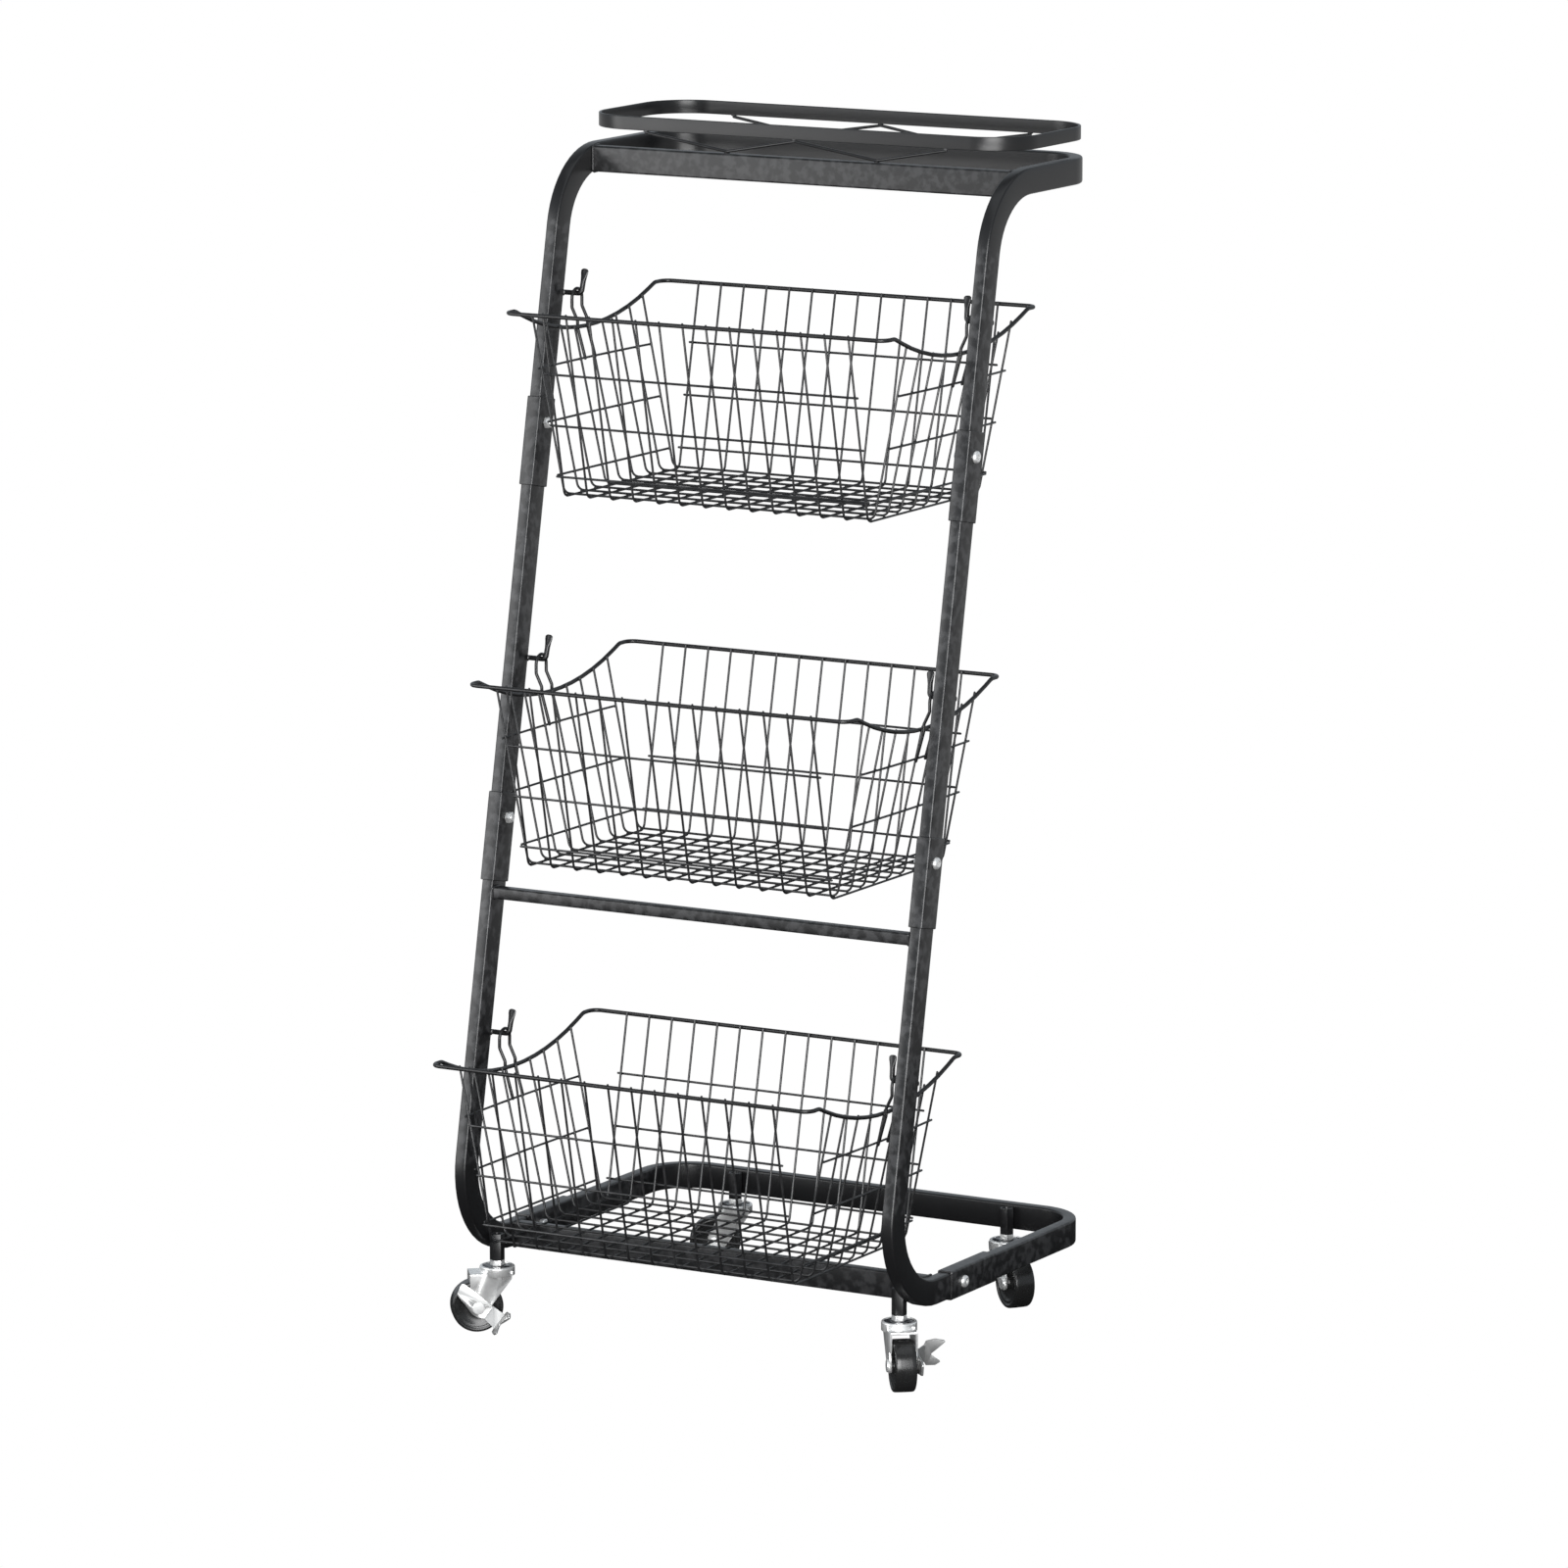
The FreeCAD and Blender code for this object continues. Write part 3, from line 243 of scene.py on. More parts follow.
class Shell:
    """Grids of quads gathered into one closed mesh."""

    def __init__(self) -> None:
        """Starts with no points."""
        self.points: list[Array] = []
        self.faces: list[list[int]] = []
        self.count = 0

    def add(self, grid: Array, loop_rows: bool = False, caps: bool = True) -> "Shell":
        """Adds one grid, or several of one size, whose columns close round.

        Args:
            grid: Points as (rows, columns, 3) or (copies, rows, columns, 3).
            loop_rows: Whether the last row joins the first.
            caps: Whether the first and last rows are closed by fans.

        Returns:
            The shell itself.
        """
        grid = grid.reshape(-1, *grid.shape[-3:])
        copies, rows, columns = grid.shape[:3]
        index = self.count + np.arange(copies * rows * columns).reshape(copies, rows, columns)
        low = index if loop_rows else index[:, :-1]
        high = np.roll(index, -1, 1) if loop_rows else index[:, 1:]
        quads = np.stack([low, np.roll(low, -1, 2), np.roll(high, -1, 2), high], -1)
        self.faces.extend(quads.reshape(-1, 4).tolist())
        self.points.append(grid.reshape(-1, 3))
        self.count += grid.size // 3
        if caps and not loop_rows:
            for ring, row in ((index[:, 0], grid[:, 0]), (index[:, -1], grid[:, -1])):
                middle = self.count + np.arange(copies)[:, None]
                fan = np.stack([ring, np.roll(ring, -1, 1),
                                np.broadcast_to(middle, ring.shape)], -1)
                self.faces.extend(fan.reshape(-1, 3).tolist())
                self.points.append(row.mean(1))
                self.count += copies
        return self

    def piece(self, name: str, body: str, slot: Slot, material: bpy.types.Material,
              stands_for: tuple[str, ...] = (), crease: float = 40.0) -> bpy.types.Object:
        """Makes the mesh, turns its faces outwards and ties it to the frame.

        Args:
            name: The piece's name.
            body: The body it rides on.
            slot: The record's slot of its finish; not used.
            material: Its material.
            stands_for: CAD nodes that it replaces.
            crease: Edges sharper than this angle in degrees stay sharp.

        Returns:
            The finished piece.
        """
        mesh = bpy.data.meshes.new(name)
        mesh.from_pydata((np.concatenate(self.points) * MM).tolist(), [], self.faces)
        outwards(mesh)
        mesh.shade_smooth()
        mesh.set_sharp_from_angle(angle=math.radians(crease))
        return finish_piece(name, mesh, body, material, stands_for)


def outwards(mesh: bpy.types.Mesh, merge: float = 0.0) -> None:
    """Merges doubles if asked, and turns every closed shell's faces outwards."""
    work = bmesh.new()
    work.from_mesh(mesh)
    if merge:
        bmesh.ops.remove_doubles(work, verts=work.verts, dist=merge)
        bmesh.ops.dissolve_limit(work, angle_limit=math.radians(1.0), verts=work.verts,
                                 edges=work.edges)
    bmesh.ops.recalc_face_normals(work, faces=work.faces)
    work.to_mesh(mesh)
    work.free()


def finish_piece(name: str, mesh: bpy.types.Mesh, body: str,
                 material: bpy.types.Material, stands_for: tuple[str, ...]) -> bpy.types.Object:
    """Puts a mesh in the scene with its material, body and replaced nodes."""
    obj = bpy.data.objects.new(name, mesh)
    bpy.context.scene.collection.objects.link(obj)
    mesh.materials.append(material)
    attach(obj, body)
    if stands_for:
        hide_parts(*stands_for)
    log.info("%s: %d faces on %s", name, len(mesh.polygons), body)
    return obj


def softened(node: str, body: str, material: bpy.types.Material,
             ease: float = 0.25, crease: float = 38.0) -> bpy.types.Object:
    """A merged copy of a CAD node whose sharp edges are eased by a small bevel.

    Args:
        node: The CAD node that the copy stands for.
        body: The body it rides on.
        material: Its material.
        ease: Width of the bevel in millimetres.
        crease: Edges sharper than this angle in degrees are eased.

    Returns:
        The finished piece.
    """
    mesh = frame["nodes"][node].data.copy()
    mesh.name = node + "_eased"
    mesh.materials.clear()
    outwards(mesh, merge=1e-6)
    mesh.shade_smooth()
    obj = finish_piece(node + "_eased", mesh, body, material, (node,))
    bevel = obj.modifiers.new("eased_edges", "BEVEL")
    bevel.width = ease * MM
    bevel.segments = 2
    bevel.limit_method = "ANGLE"
    bevel.angle_limit = math.radians(crease)
    bevel.harden_normals = True
    return obj


def node_middle(node: str) -> Array:
    """The middle of a CAD node's box, in millimetres."""
    low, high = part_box(node)
    return np.array((low + high) / 2) / MM


def node_span(node: str) -> Array:
    """The three sides of a CAD node's box, in millimetres."""
    low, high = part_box(node)
    return np.array(high - low) / MM


# ---------------------------------------------------------------- shared effects

class Effects:
    """Shader node groups that several finishes share; each gives masks, values or heights."""

    def __init__(self) -> None:
        """Makes the four groups once."""
        self.peel = self._peel()
        self.dust = self._dust()
        self.edge_highlight = self._painted_edge_highlight()
        # the edge group paints a highlight on convex edges
        self.marks = self._marks()

    @staticmethod
    def _group(name: str, inputs: dict[str, float], output: str) -> bpy.types.NodeTree:
        """A group with float inputs and one float output, and its two end nodes."""
        tree = bpy.data.node_groups.new(name, "ShaderNodeTree")
        for label, value in inputs.items():
            made = tree.interface.new_socket(label, in_out="INPUT", socket_type="NodeSocketFloat")
            made.default_value = value
        tree.interface.new_socket(output, in_out="OUTPUT", socket_type="NodeSocketFloat")
        tree.nodes.new("NodeGroupInput").name = "in"
        tree.nodes.new("NodeGroupOutput").name = "out"
        return tree

    @staticmethod
    def noise(tree: bpy.types.NodeTree, scale: float, detail: float = 2.0,
              source: bpy.types.NodeSocket | None = None) -> bpy.types.NodeSocket:
        """A noise over Object coordinates, or over another vector."""
        made = tree.nodes.new("ShaderNodeTexNoise")
        made.inputs["Scale"].default_value = scale
        made.inputs["Detail"].default_value = detail
        if source is None:
            source = tree.nodes.new("ShaderNodeTexCoord").outputs["Object"]
        tree.links.new(source, made.inputs["Vector"])
        return made.outputs["Fac"]

    @staticmethod
    def ranged(tree: bpy.types.NodeTree, value: bpy.types.NodeSocket, low: float, high: float,
               to_low: float = 0.0, to_high: float = 1.0) -> bpy.types.NodeSocket:
        """A value moved smoothly from one range to another."""
        made = tree.nodes.new("ShaderNodeMapRange")
        made.interpolation_type = "SMOOTHSTEP"
        made.inputs["From Min"].default_value = low
        made.inputs["From Max"].default_value = high
        made.inputs["To Min"].default_value = to_low
        made.inputs["To Max"].default_value = to_high
        tree.links.new(value, made.inputs["Value"])
        return made.outputs["Result"]

    @staticmethod
    def times(tree: bpy.types.NodeTree, first: bpy.types.NodeSocket,
              second: bpy.types.NodeSocket | float) -> bpy.types.NodeSocket:
        """The product of two values."""
        made = tree.nodes.new("ShaderNodeMath")
        made.operation = "MULTIPLY"
        tree.links.new(first, made.inputs[0])
        if isinstance(second, float):
            made.inputs[1].default_value = second
        else:
            tree.links.new(second, made.inputs[1])
        return made.outputs[0]

    def _peel(self) -> bpy.types.NodeTree:
        """Orange peel of a baked coating: a coarse and a fine noise mixed half and half."""
        tree = self._group("orange_peel", {"Coarse": 420.0, "Fine": 1500.0}, "Height")
        ends = tree.nodes
        mix = tree.nodes.new("ShaderNodeMath")
        mix.operation = "MULTIPLY_ADD"
        mix.inputs[1].default_value = 0.6
        fine = tree.nodes.new("ShaderNodeTexNoise")
        coarse = tree.nodes.new("ShaderNodeTexNoise")
        place = tree.nodes.new("ShaderNodeTexCoord").outputs["Object"]
        for made, label in ((coarse, "Coarse"), (fine, "Fine")):
            tree.links.new(place, made.inputs["Vector"])
            tree.links.new(ends["in"].outputs[label], made.inputs["Scale"])
            made.inputs["Detail"].default_value = 1.0
        tree.links.new(coarse.outputs["Fac"], mix.inputs[0])
        tree.links.new(self.times(tree, fine.outputs["Fac"], 0.4), mix.inputs[2])
        tree.links.new(mix.outputs[0], ends["out"].inputs["Height"])
        return tree

    def _dust(self) -> bpy.types.NodeTree:
        """Fine dust: how far a face looks up, times a patchy noise, times an amount."""
        tree = self._group("settled_dust", {"Amount": 0.2}, "Mask")
        parts = tree.nodes.new("ShaderNodeSeparateXYZ")
        tree.links.new(tree.nodes.new("ShaderNodeNewGeometry").outputs["Normal"], parts.inputs[0])
        upward = self.ranged(tree, parts.outputs["Z"], 0.35, 0.95)
        patches = self.ranged(tree, self.noise(tree, 60.0, 4.0), 0.35, 0.7, 0.35, 1.0)
        mask = self.times(tree, self.times(tree, upward, patches),
                          tree.nodes["in"].outputs["Amount"])
        tree.links.new(mask, tree.nodes["out"].inputs["Mask"])
        return tree

    def _painted_edge_highlight(self) -> bpy.types.NodeTree:
        """Painted edge highlight: a lighter colour where the surface is most convex, broken up by a noise."""
        tree = self._group("painted_edge_highlights", {"Amount": 0.3}, "Mask")
        convex = tree.nodes.new("ShaderNodeNewGeometry").outputs["Pointiness"]
        edge = self.ranged(tree, convex, 0.53, 0.62)
        broken = self.ranged(tree, self.noise(tree, 140.0, 5.0), 0.42, 0.62)
        mask = self.times(tree, self.times(tree, edge, broken),
                          tree.nodes["in"].outputs["Amount"])
        tree.links.new(mask, tree.nodes["out"].inputs["Mask"])
        return tree

    def _marks(self) -> bpy.types.NodeTree:
        """Handling marks: slow cloudy patches, from 0 to 1."""
        tree = self._group("handling_marks", {"Scale": 14.0}, "Value")
        cloud = tree.nodes.new("ShaderNodeTexNoise")
        cloud.inputs["Detail"].default_value = 5.0
        tree.links.new(tree.nodes.new("ShaderNodeTexCoord").outputs["Object"],
                       cloud.inputs["Vector"])
        tree.links.new(tree.nodes["in"].outputs["Scale"], cloud.inputs["Scale"])
        value = self.ranged(tree, cloud.outputs["Fac"], 0.3, 0.7)
        tree.links.new(value, tree.nodes["out"].inputs["Value"])
        return tree


# ---------------------------------------------------------------- finishes

@dataclass(frozen=True)
class Finish:
    """A surface finish; the subclasses say what it is made of."""

    name: str
    colour: tuple[float, float, float]
    roughness: float
    spread: float = 0.06

    def start(self) -> tuple[bpy.types.Material, bpy.types.NodeTree, bpy.types.Node]:
        """A fresh material with its tree and its Principled shader."""
        material = bpy.data.materials.new(self.name)
        material.use_nodes = True
        shader = material.node_tree.nodes["Principled BSDF"]
        material.diffuse_color = (*self.colour, 1.0)
        return material, material.node_tree, shader

    def placed(self, tree: bpy.types.NodeTree, group: bpy.types.NodeTree,
               **values: float) -> bpy.types.NodeSocket:
        """One of the shared groups with its own values; returns its output."""
        made = tree.nodes.new("ShaderNodeGroup")
        made.node_tree = group
        for label, value in values.items():
            made.inputs[label].default_value = value
        return made.outputs[0]

    def blended(self, tree: bpy.types.NodeTree, mask: bpy.types.NodeSocket,
                first: bpy.types.NodeSocket | tuple[float, float, float],
                second: tuple[float, float, float]) -> bpy.types.NodeSocket:
        """A colour that goes from the first to the second with a mask."""
        mix = tree.nodes.new("ShaderNodeMix")
        mix.data_type = "RGBA"
        tree.links.new(mask, mix.inputs["Factor"])
        if isinstance(first, tuple):
            mix.inputs[COLOUR_FROM].default_value = (*first, 1.0)
        else:
            tree.links.new(first, mix.inputs[COLOUR_FROM])
        mix.inputs[COLOUR_TO].default_value = (*second, 1.0)
        return mix.outputs[COLOUR_OUT]

    def rough(self, tree: bpy.types.NodeTree, effects: Effects, shader: bpy.types.Node,
              scale: float = 14.0) -> None:
        """Roughness that drifts by the spread with the handling marks."""
        marks = self.placed(tree, effects.marks, Scale=scale)
        value = effects.ranged(tree, marks, 0.0, 1.0, self.roughness - self.spread,
                               self.roughness + self.spread)
        tree.links.new(value, shader.inputs["Roughness"])

    def bumped(self, tree: bpy.types.NodeTree, height: bpy.types.NodeSocket,
               shader: bpy.types.Node, strength: float, distance: float) -> None:
        """A bump made from a height."""
        bump = tree.nodes.new("ShaderNodeBump")
        bump.inputs["Strength"].default_value = strength
        bump.inputs["Distance"].default_value = distance
        tree.links.new(height, bump.inputs["Height"])
        tree.links.new(bump.outputs["Normal"], shader.inputs["Normal"])


@dataclass(frozen=True)
class PowderCoat(Finish):
    """Baked powder coating on steel, with orange peel, faint dust and a painted highlight on its edges."""

    dusty: tuple[float, float, float] = (0.16, 0.16, 0.17)
    # Colour of the painted highlight on the convex edges.
    edge_highlight_colour: tuple[float, float, float] = (0.14, 0.14, 0.145)
    dust: float = 0.02
    # Amount of the painted highlight on the convex edges.
    edge_highlight: float = 0.2
    peel: float = 0.06

    def build(self, effects: Effects) -> bpy.types.Material:
        """The material."""
        material, tree, shader = self.start()
        edge = self.placed(tree, effects.edge_highlight, Amount=self.edge_highlight)
        dust = self.placed(tree, effects.dust, Amount=self.dust)
        tone = self.blended(tree, self.placed(tree, effects.marks, Scale=5.0), self.colour,
                            tuple(1.12 * c for c in self.colour))
        # Painted highlight: the convex edges take the lighter highlight colour.
        tone = self.blended(tree, edge, tone, self.edge_highlight_colour)
        tone = self.blended(tree, dust, tone, self.dusty)
        tree.links.new(tone, shader.inputs["Base Color"])
        self.rough(tree, effects, shader)
        height = self.placed(tree, effects.peel, Coarse=420.0, Fine=1500.0)
        self.bumped(tree, height, shader, self.peel, 0.0002)
        shader.inputs["IOR"].default_value = 1.5
        return material


@dataclass(frozen=True)
class Plated(Finish):
    """Zinc plate on steel: bright or satin, with drawn lines and a slight dull bloom."""

    bloom: tuple[float, float, float] = (0.55, 0.55, 0.56)
    lines: float = 0.05
    metallic: float = 1.0

    def build(self, effects: Effects) -> bpy.types.Material:
        """The material."""
        material, tree, shader = self.start()
        shader.inputs["Metallic"].default_value = self.metallic
        cloud = effects.ranged(tree, effects.noise(tree, 240.0, 4.0), 0.45, 0.75, 0.0, 0.25)
        tone = self.blended(tree, cloud, self.colour, self.bloom)
        tree.links.new(tone, shader.inputs["Base Color"])
        self.rough(tree, effects, shader, 90.0)
        stretch = tree.nodes.new("ShaderNodeMapping")
        stretch.inputs["Scale"].default_value = (1.0, 1.0, 9.0)
        tree.links.new(tree.nodes.new("ShaderNodeTexCoord").outputs["Object"],
                       stretch.inputs["Vector"])
        drawn = effects.noise(tree, 420.0, 3.0, stretch.outputs["Vector"])
        self.bumped(tree, drawn, shader, self.lines, 0.0003)
        return material


@dataclass(frozen=True)
class Moulded(Finish):
    """Glossy moulded plastic with fine scuffs where it rolls and a trace of dust."""

    scuffed: tuple[float, float, float] = (0.06, 0.06, 0.06)
    dust: float = 0.05

    def build(self, effects: Effects) -> bpy.types.Material:
        """The material."""
        material, tree, shader = self.start()
        scuffs = effects.ranged(tree, effects.noise(tree, 700.0, 6.0), 0.55, 0.75, 0.0, 0.3)
        tone = self.blended(tree, scuffs, self.colour, self.scuffed)
        tone = self.blended(tree, self.placed(tree, effects.dust, Amount=self.dust), tone,
                            (0.2, 0.2, 0.2))
        tree.links.new(tone, shader.inputs["Base Color"])
        self.rough(tree, effects, shader, 60.0)
        self.bumped(tree, effects.noise(tree, 900.0, 3.0), shader, 0.03, 0.0002)
        return material


FINISHES: dict[Slot, PowderCoat | Plated | Moulded] = {
    Slot.FRAME: PowderCoat("frame_powder_coat", (0.006, 0.006, 0.0065), 0.31, 0.015),
    Slot.WIRE: PowderCoat("wire_powder_coat", (0.007, 0.007, 0.0075), 0.32, 0.02, dust=0.012,
                          peel=0.04),
    Slot.BRIGHT: Plated("bright_zinc_plate", (0.92, 0.92, 0.91), 0.30, 0.03, lines=0.02,
                        metallic=0.75),
    Slot.SATIN: Plated("satin_zinc_plate", (0.46, 0.46, 0.455), 0.42, 0.04, lines=0.08,
                       bloom=(0.40, 0.40, 0.40), metallic=0.75),
    Slot.DARK: Plated("dark_race_steel", (0.035, 0.037, 0.045), 0.22,
                      bloom=(0.05, 0.05, 0.055), metallic=0.6),
    Slot.WHEEL: Moulded("wheel_plastic", (0.012, 0.012, 0.012), 0.24, 0.03, dust=0.02),
}


class Paints:
    """Every finish's material, by slot."""

    def __init__(self) -> None:
        """Makes the shared groups and then the materials."""
        effects = Effects()
        self.made = {slot: finish.build(effects) for slot, finish in FINISHES.items()}

    def __getitem__(self, slot: Slot) -> bpy.types.Material:
        """The material of a slot."""
        return self.made[slot]

    def dress_nodes(self) -> None:
        """Gives every CAD node the material of its record slot."""
        slots = {part["node"]: Slot(part["material_slot"]) for part in frame["record"]["subparts"]}
        for name, obj in frame["nodes"].items():
            obj.data.materials.clear()
            obj.data.materials.append(self.made[slots[name]])


# ---------------------------------------------------------------- the tube frame

@dataclass
class TubeFrame:
    """The bent tubes, their joint sleeves and the crossbars between them."""

    paints: Paints
    deep: float = 20.0
    thick: float = 10.0
    corner: float = 1.6
    half_width: float = 191.0
    rear: float = 150.0
    side_bend: float = 60.0
    plan_bend: float = 37.0
    rail: float = 67.5
    top: float = 887.0
    foot_front: float = 198.3
    lean: float = 0.2
    upper_joint: float = 676.0
    lower_joint: float = 380.0
    base_joint: float = 47.0
    sleeve_wall: float = 1.2
    sleeve_long: float = 68.0
    base_sleeve_long: float = 70.0
    sleeve_ease: float = 0.6
    seam: float = 0.1
    side: float = field(init=False)
    slant: float = field(init=False)

    def __post_init__(self) -> None:
        """Works out the side tubes' X and the leaning tube's depth on the level."""
        self.side = self.half_width - self.thick / 2
        self.slant = self.deep / math.cos(math.atan(self.lean))

    def upright_y(self, level: float) -> float:
        """Y of the upright's centre line at a height."""
        return -self.foot_front + self.slant / 2 + self.lean * level

    def section(self, grow: float = 0.0) -> Array:
        """The tube's outline: thick across, deep along the bend's plane."""
        return rounded_rectangle(self.thick + 2 * grow, self.deep + 2 * grow, self.corner)

    def build(self) -> None:
        """Builds the tubes, sleeves, crossbars and their weld seams."""
        self.build_upper()
        self.build_base()
        for name, sign in SIDES:
            self.build_lower(name, sign)
            self.build_mid(name, sign)
            self.build_sleeves(name, sign)
        self.build_crossbars()

    def shell(self, path: Array, side: Array, grow: float = 0.0, ease: float = 0.5) -> Shell:
        """A length of tube swept along a path, with eased ends."""
        return Shell().add(swept(path, self.section(grow), side, end=End.EASED, ease=ease))

    def add(self, shell: Shell, name: str, node: str) -> None:
        """Finishes one tube piece in place of its node."""
        shell.piece(name, "frame", Slot.FRAME, self.paints[Slot.FRAME], (node,))

    def build_upper(self) -> None:
        """Both upper uprights, the top bends and the rail round the back, as one tube."""
        foot = self.upper_joint + self.seam
        rear = self.rear - self.thick / 2
        half = [(self.upright_y(foot), foot, 0.0), (self.upright_y(self.top), self.top,
                                                    self.side_bend), (rear, self.top, self.plan_bend)]
        corners = [(-self.side, y, z) for y, z, _ in half] + [(self.side, y, z)
                                                              for y, z, _ in half[::-1]]
        bends = [bend for *_, bend in half] + [bend for *_, bend in half[::-1]]
        path = rounded_path(corners, bends, steps=14)
        self.add(self.shell(path, level_sides(path)), "upper_tube", "upper_frame")

    def build_base(self) -> None:
        """The base rail: back from one sleeve, across the rear and forward again."""
        rear = self.rear - self.thick / 2
        start = -self.base_joint + self.seam
        corners = [(-self.side, start, self.rail), (-self.side, rear, self.rail),
                   (self.side, rear, self.rail), (self.side, start, self.rail)]
        path = rounded_path(corners, self.plan_bend, steps=14)
        self.add(self.shell(path, level_sides(path)), "base_tube", "base_frame")

    def build_lower(self, name: str, sign: int) -> None:
        """The lower upright, its bottom bend and the stub that enters the base sleeve."""
        head = self.lower_joint - self.seam
        corners = [(sign * self.side, -self.base_joint - self.seam, self.rail),
                   (sign * self.side, self.upright_y(self.rail), self.rail),
                   (sign * self.side, self.upright_y(head), head)]
        path = rounded_path(corners, self.side_bend, steps=16)
        self.add(self.shell(path, X_AXIS), "lower_tube_" + name, "lower_frame_" + name)

    def upright_run(self, sign: int, low: float, high: float) -> Array:
        """Two points of the upright's centre line."""
        return np.array([(sign * self.side, self.upright_y(z), z) for z in (low, high)])

    def build_mid(self, name: str, sign: int) -> None:
        """The straight tube between the two joints."""
        run = self.upright_run(sign, self.lower_joint + self.seam, self.upper_joint - self.seam)
        self.add(self.shell(run, X_AXIS), "mid_tube_piece_" + name, "mid_tube_" + name)

    def build_sleeves(self, name: str, sign: int) -> None:
        """The sleeves over the upright's joints and the one over the base joint."""
        rise = self.sleeve_long / 2 * math.cos(math.atan(self.lean)) - self.sleeve_ease
        for label, joint in (("upper", self.upper_joint), ("lower", self.lower_joint)):
            run = self.upright_run(sign, joint - rise, joint + rise)
            self.add(self.shell(run, X_AXIS, self.sleeve_wall, self.sleeve_ease),
                     "%s_sleeve_piece_%s" % (label, name), "%s_sleeve_%s" % (label, name))
        reach = self.base_sleeve_long / 2 - self.sleeve_ease
        run = np.array([(sign * self.side, -self.base_joint + step, self.rail)
                        for step in (-reach, reach)])
        self.add(self.shell(run, X_AXIS, self.sleeve_wall, self.sleeve_ease),
                 "base_sleeve_piece_" + name, "base_sleeve_" + name)

    def build_crossbars(self) -> None:
        """Three bars across, each with a smooth weld bead round both of its ends."""
        welds = Shell()
        for name in ("top_crossbar", "middle_crossbar", "base_crossbar"):
            middle = node_middle(name)
            long, deep, high = node_span(name)
            outline = rounded_rectangle(deep, high, self.corner)
            run = middle + np.array([[-long / 2, 0.0, 0.0], [long / 2, 0.0, 0.0]])
            bar = Shell().add(swept(run, outline, Y_AXIS, end=End.FLAT))
            self.add(bar, name + "_piece", name)
            for sign in (-1, 1):
                self.bead(welds, middle + X_AXIS * sign * (long / 2 - 0.4), deep, high)
        welds.piece("frame_welds", "frame", Slot.FRAME, self.paints[Slot.FRAME])

    def bead(self, welds: Shell, centre: Array, deep: float, high: float) -> None:
        """A bead whose radius ripples as 0.9 + 0.12 sin along a bar's outline.

        Args:
            welds: The shell that takes the bead.
            centre: Middle of the bar's end.
            deep: The bar's depth.
            high: The bar's height.
        """
        outline = rounded_rectangle(deep, high, self.corner, 7)
        path = np.column_stack([np.zeros(len(outline)), outline]) + centre
        ripple = 0.9 + 0.12 * np.sin(np.arange(len(path)) * 2.3)
        welds.add(swept(path, circle(1.0, 8) * ripple[:, None, None], X_AXIS, closed=True),
                  loop_rows=True)


@dataclass
class Hardware:
    """Button-head bolts with a key socket, and the nuts on the inner faces."""

    paints: Paints
    tubes: TubeFrame
    inset: float = 19.0
    head: float = 9.5
    high: float = 2.8
    key: float = 3.0
    nut: float = 8.0
    nut_high: float = 4.0

    def places(self) -> list[tuple[float, float]]:
        """Where the bolts cross the tubes, as (y, z)."""
        tubes = self.tubes
        rise = (tubes.sleeve_long / 2 - self.inset) * math.cos(math.atan(tubes.lean))
        joints = [(tubes.upright_y(joint + rise), joint + rise)
                  for joint in (tubes.upper_joint, tubes.lower_joint)]
        front = -tubes.base_joint - tubes.base_sleeve_long / 2 + self.inset
        return joints + [(front, tubes.rail)]

    def bolt(self) -> Array:
        """A domed head round a hexagon socket: radius and height rise as a quarter wave."""
        arc = np.radians(np.linspace(0.0, 78.0, 7))
        radius = self.head / 2
        dome = np.column_stack([radius - 2.2 * (1 - np.cos(arc)),
                                0.5 + (self.high - 0.5) * np.sin(arc)])
        edge = np.array([(radius - 0.2, 0.0), (radius, 0.2)])
        key = self.key / 2
        socket = np.array([(key + 0.45, self.high), (key + 0.1, self.high - 0.12),
                           (key, self.high - 0.4), (key, 0.9), (0.3, 0.75)])
        share = np.r_[np.zeros(9), 0.3, 0.9, 1.0, 1.0, 0.0]
        return hexed(np.vstack([edge, dome, socket]), share)

    def nut_grid(self) -> Array:
        """A hexagon nut with chamfered corners round the bolt's end."""
        half = self.nut / 2
        profile = np.array([(half - 0.3, 0.0), (half, 0.3), (half, self.nut_high - 0.5),
                            (half - 0.3, self.nut_high - 0.1), (2.9, self.nut_high),
                            (2.6, self.nut_high - 0.4), (2.5, self.nut_high + 0.5),
                            (2.2, self.nut_high + 0.9)])
        return hexed(profile, np.r_[0.7, 1.0, 1.0, 0.75, np.zeros(4)])

    def build(self) -> None:
        """Builds all bolts as one piece and all nuts as another."""
        bolts, nuts = Shell(), Shell()
        outer = self.tubes.half_width + self.tubes.sleeve_wall
        inner = self.tubes.half_width - self.tubes.thick - self.tubes.sleeve_wall
        for y, z in self.places():
            for _, sign in SIDES:
                for shell, grid, x, facing in ((bolts, self.bolt(), outer, sign),
                                               (nuts, self.nut_grid(), inner, -sign)):
                    laid = grid[..., [2, 1, 0]] * np.array((facing, 1.0, 1.0))
                    shell.add(laid + np.array((sign * x, y, z)))
        bright = self.paints[Slot.BRIGHT]
        bolts.piece("bolts", "frame", Slot.BRIGHT, bright, ("frame_bolts",))
        nuts.piece("nuts", "frame", Slot.BRIGHT, bright, ("frame_nuts",))


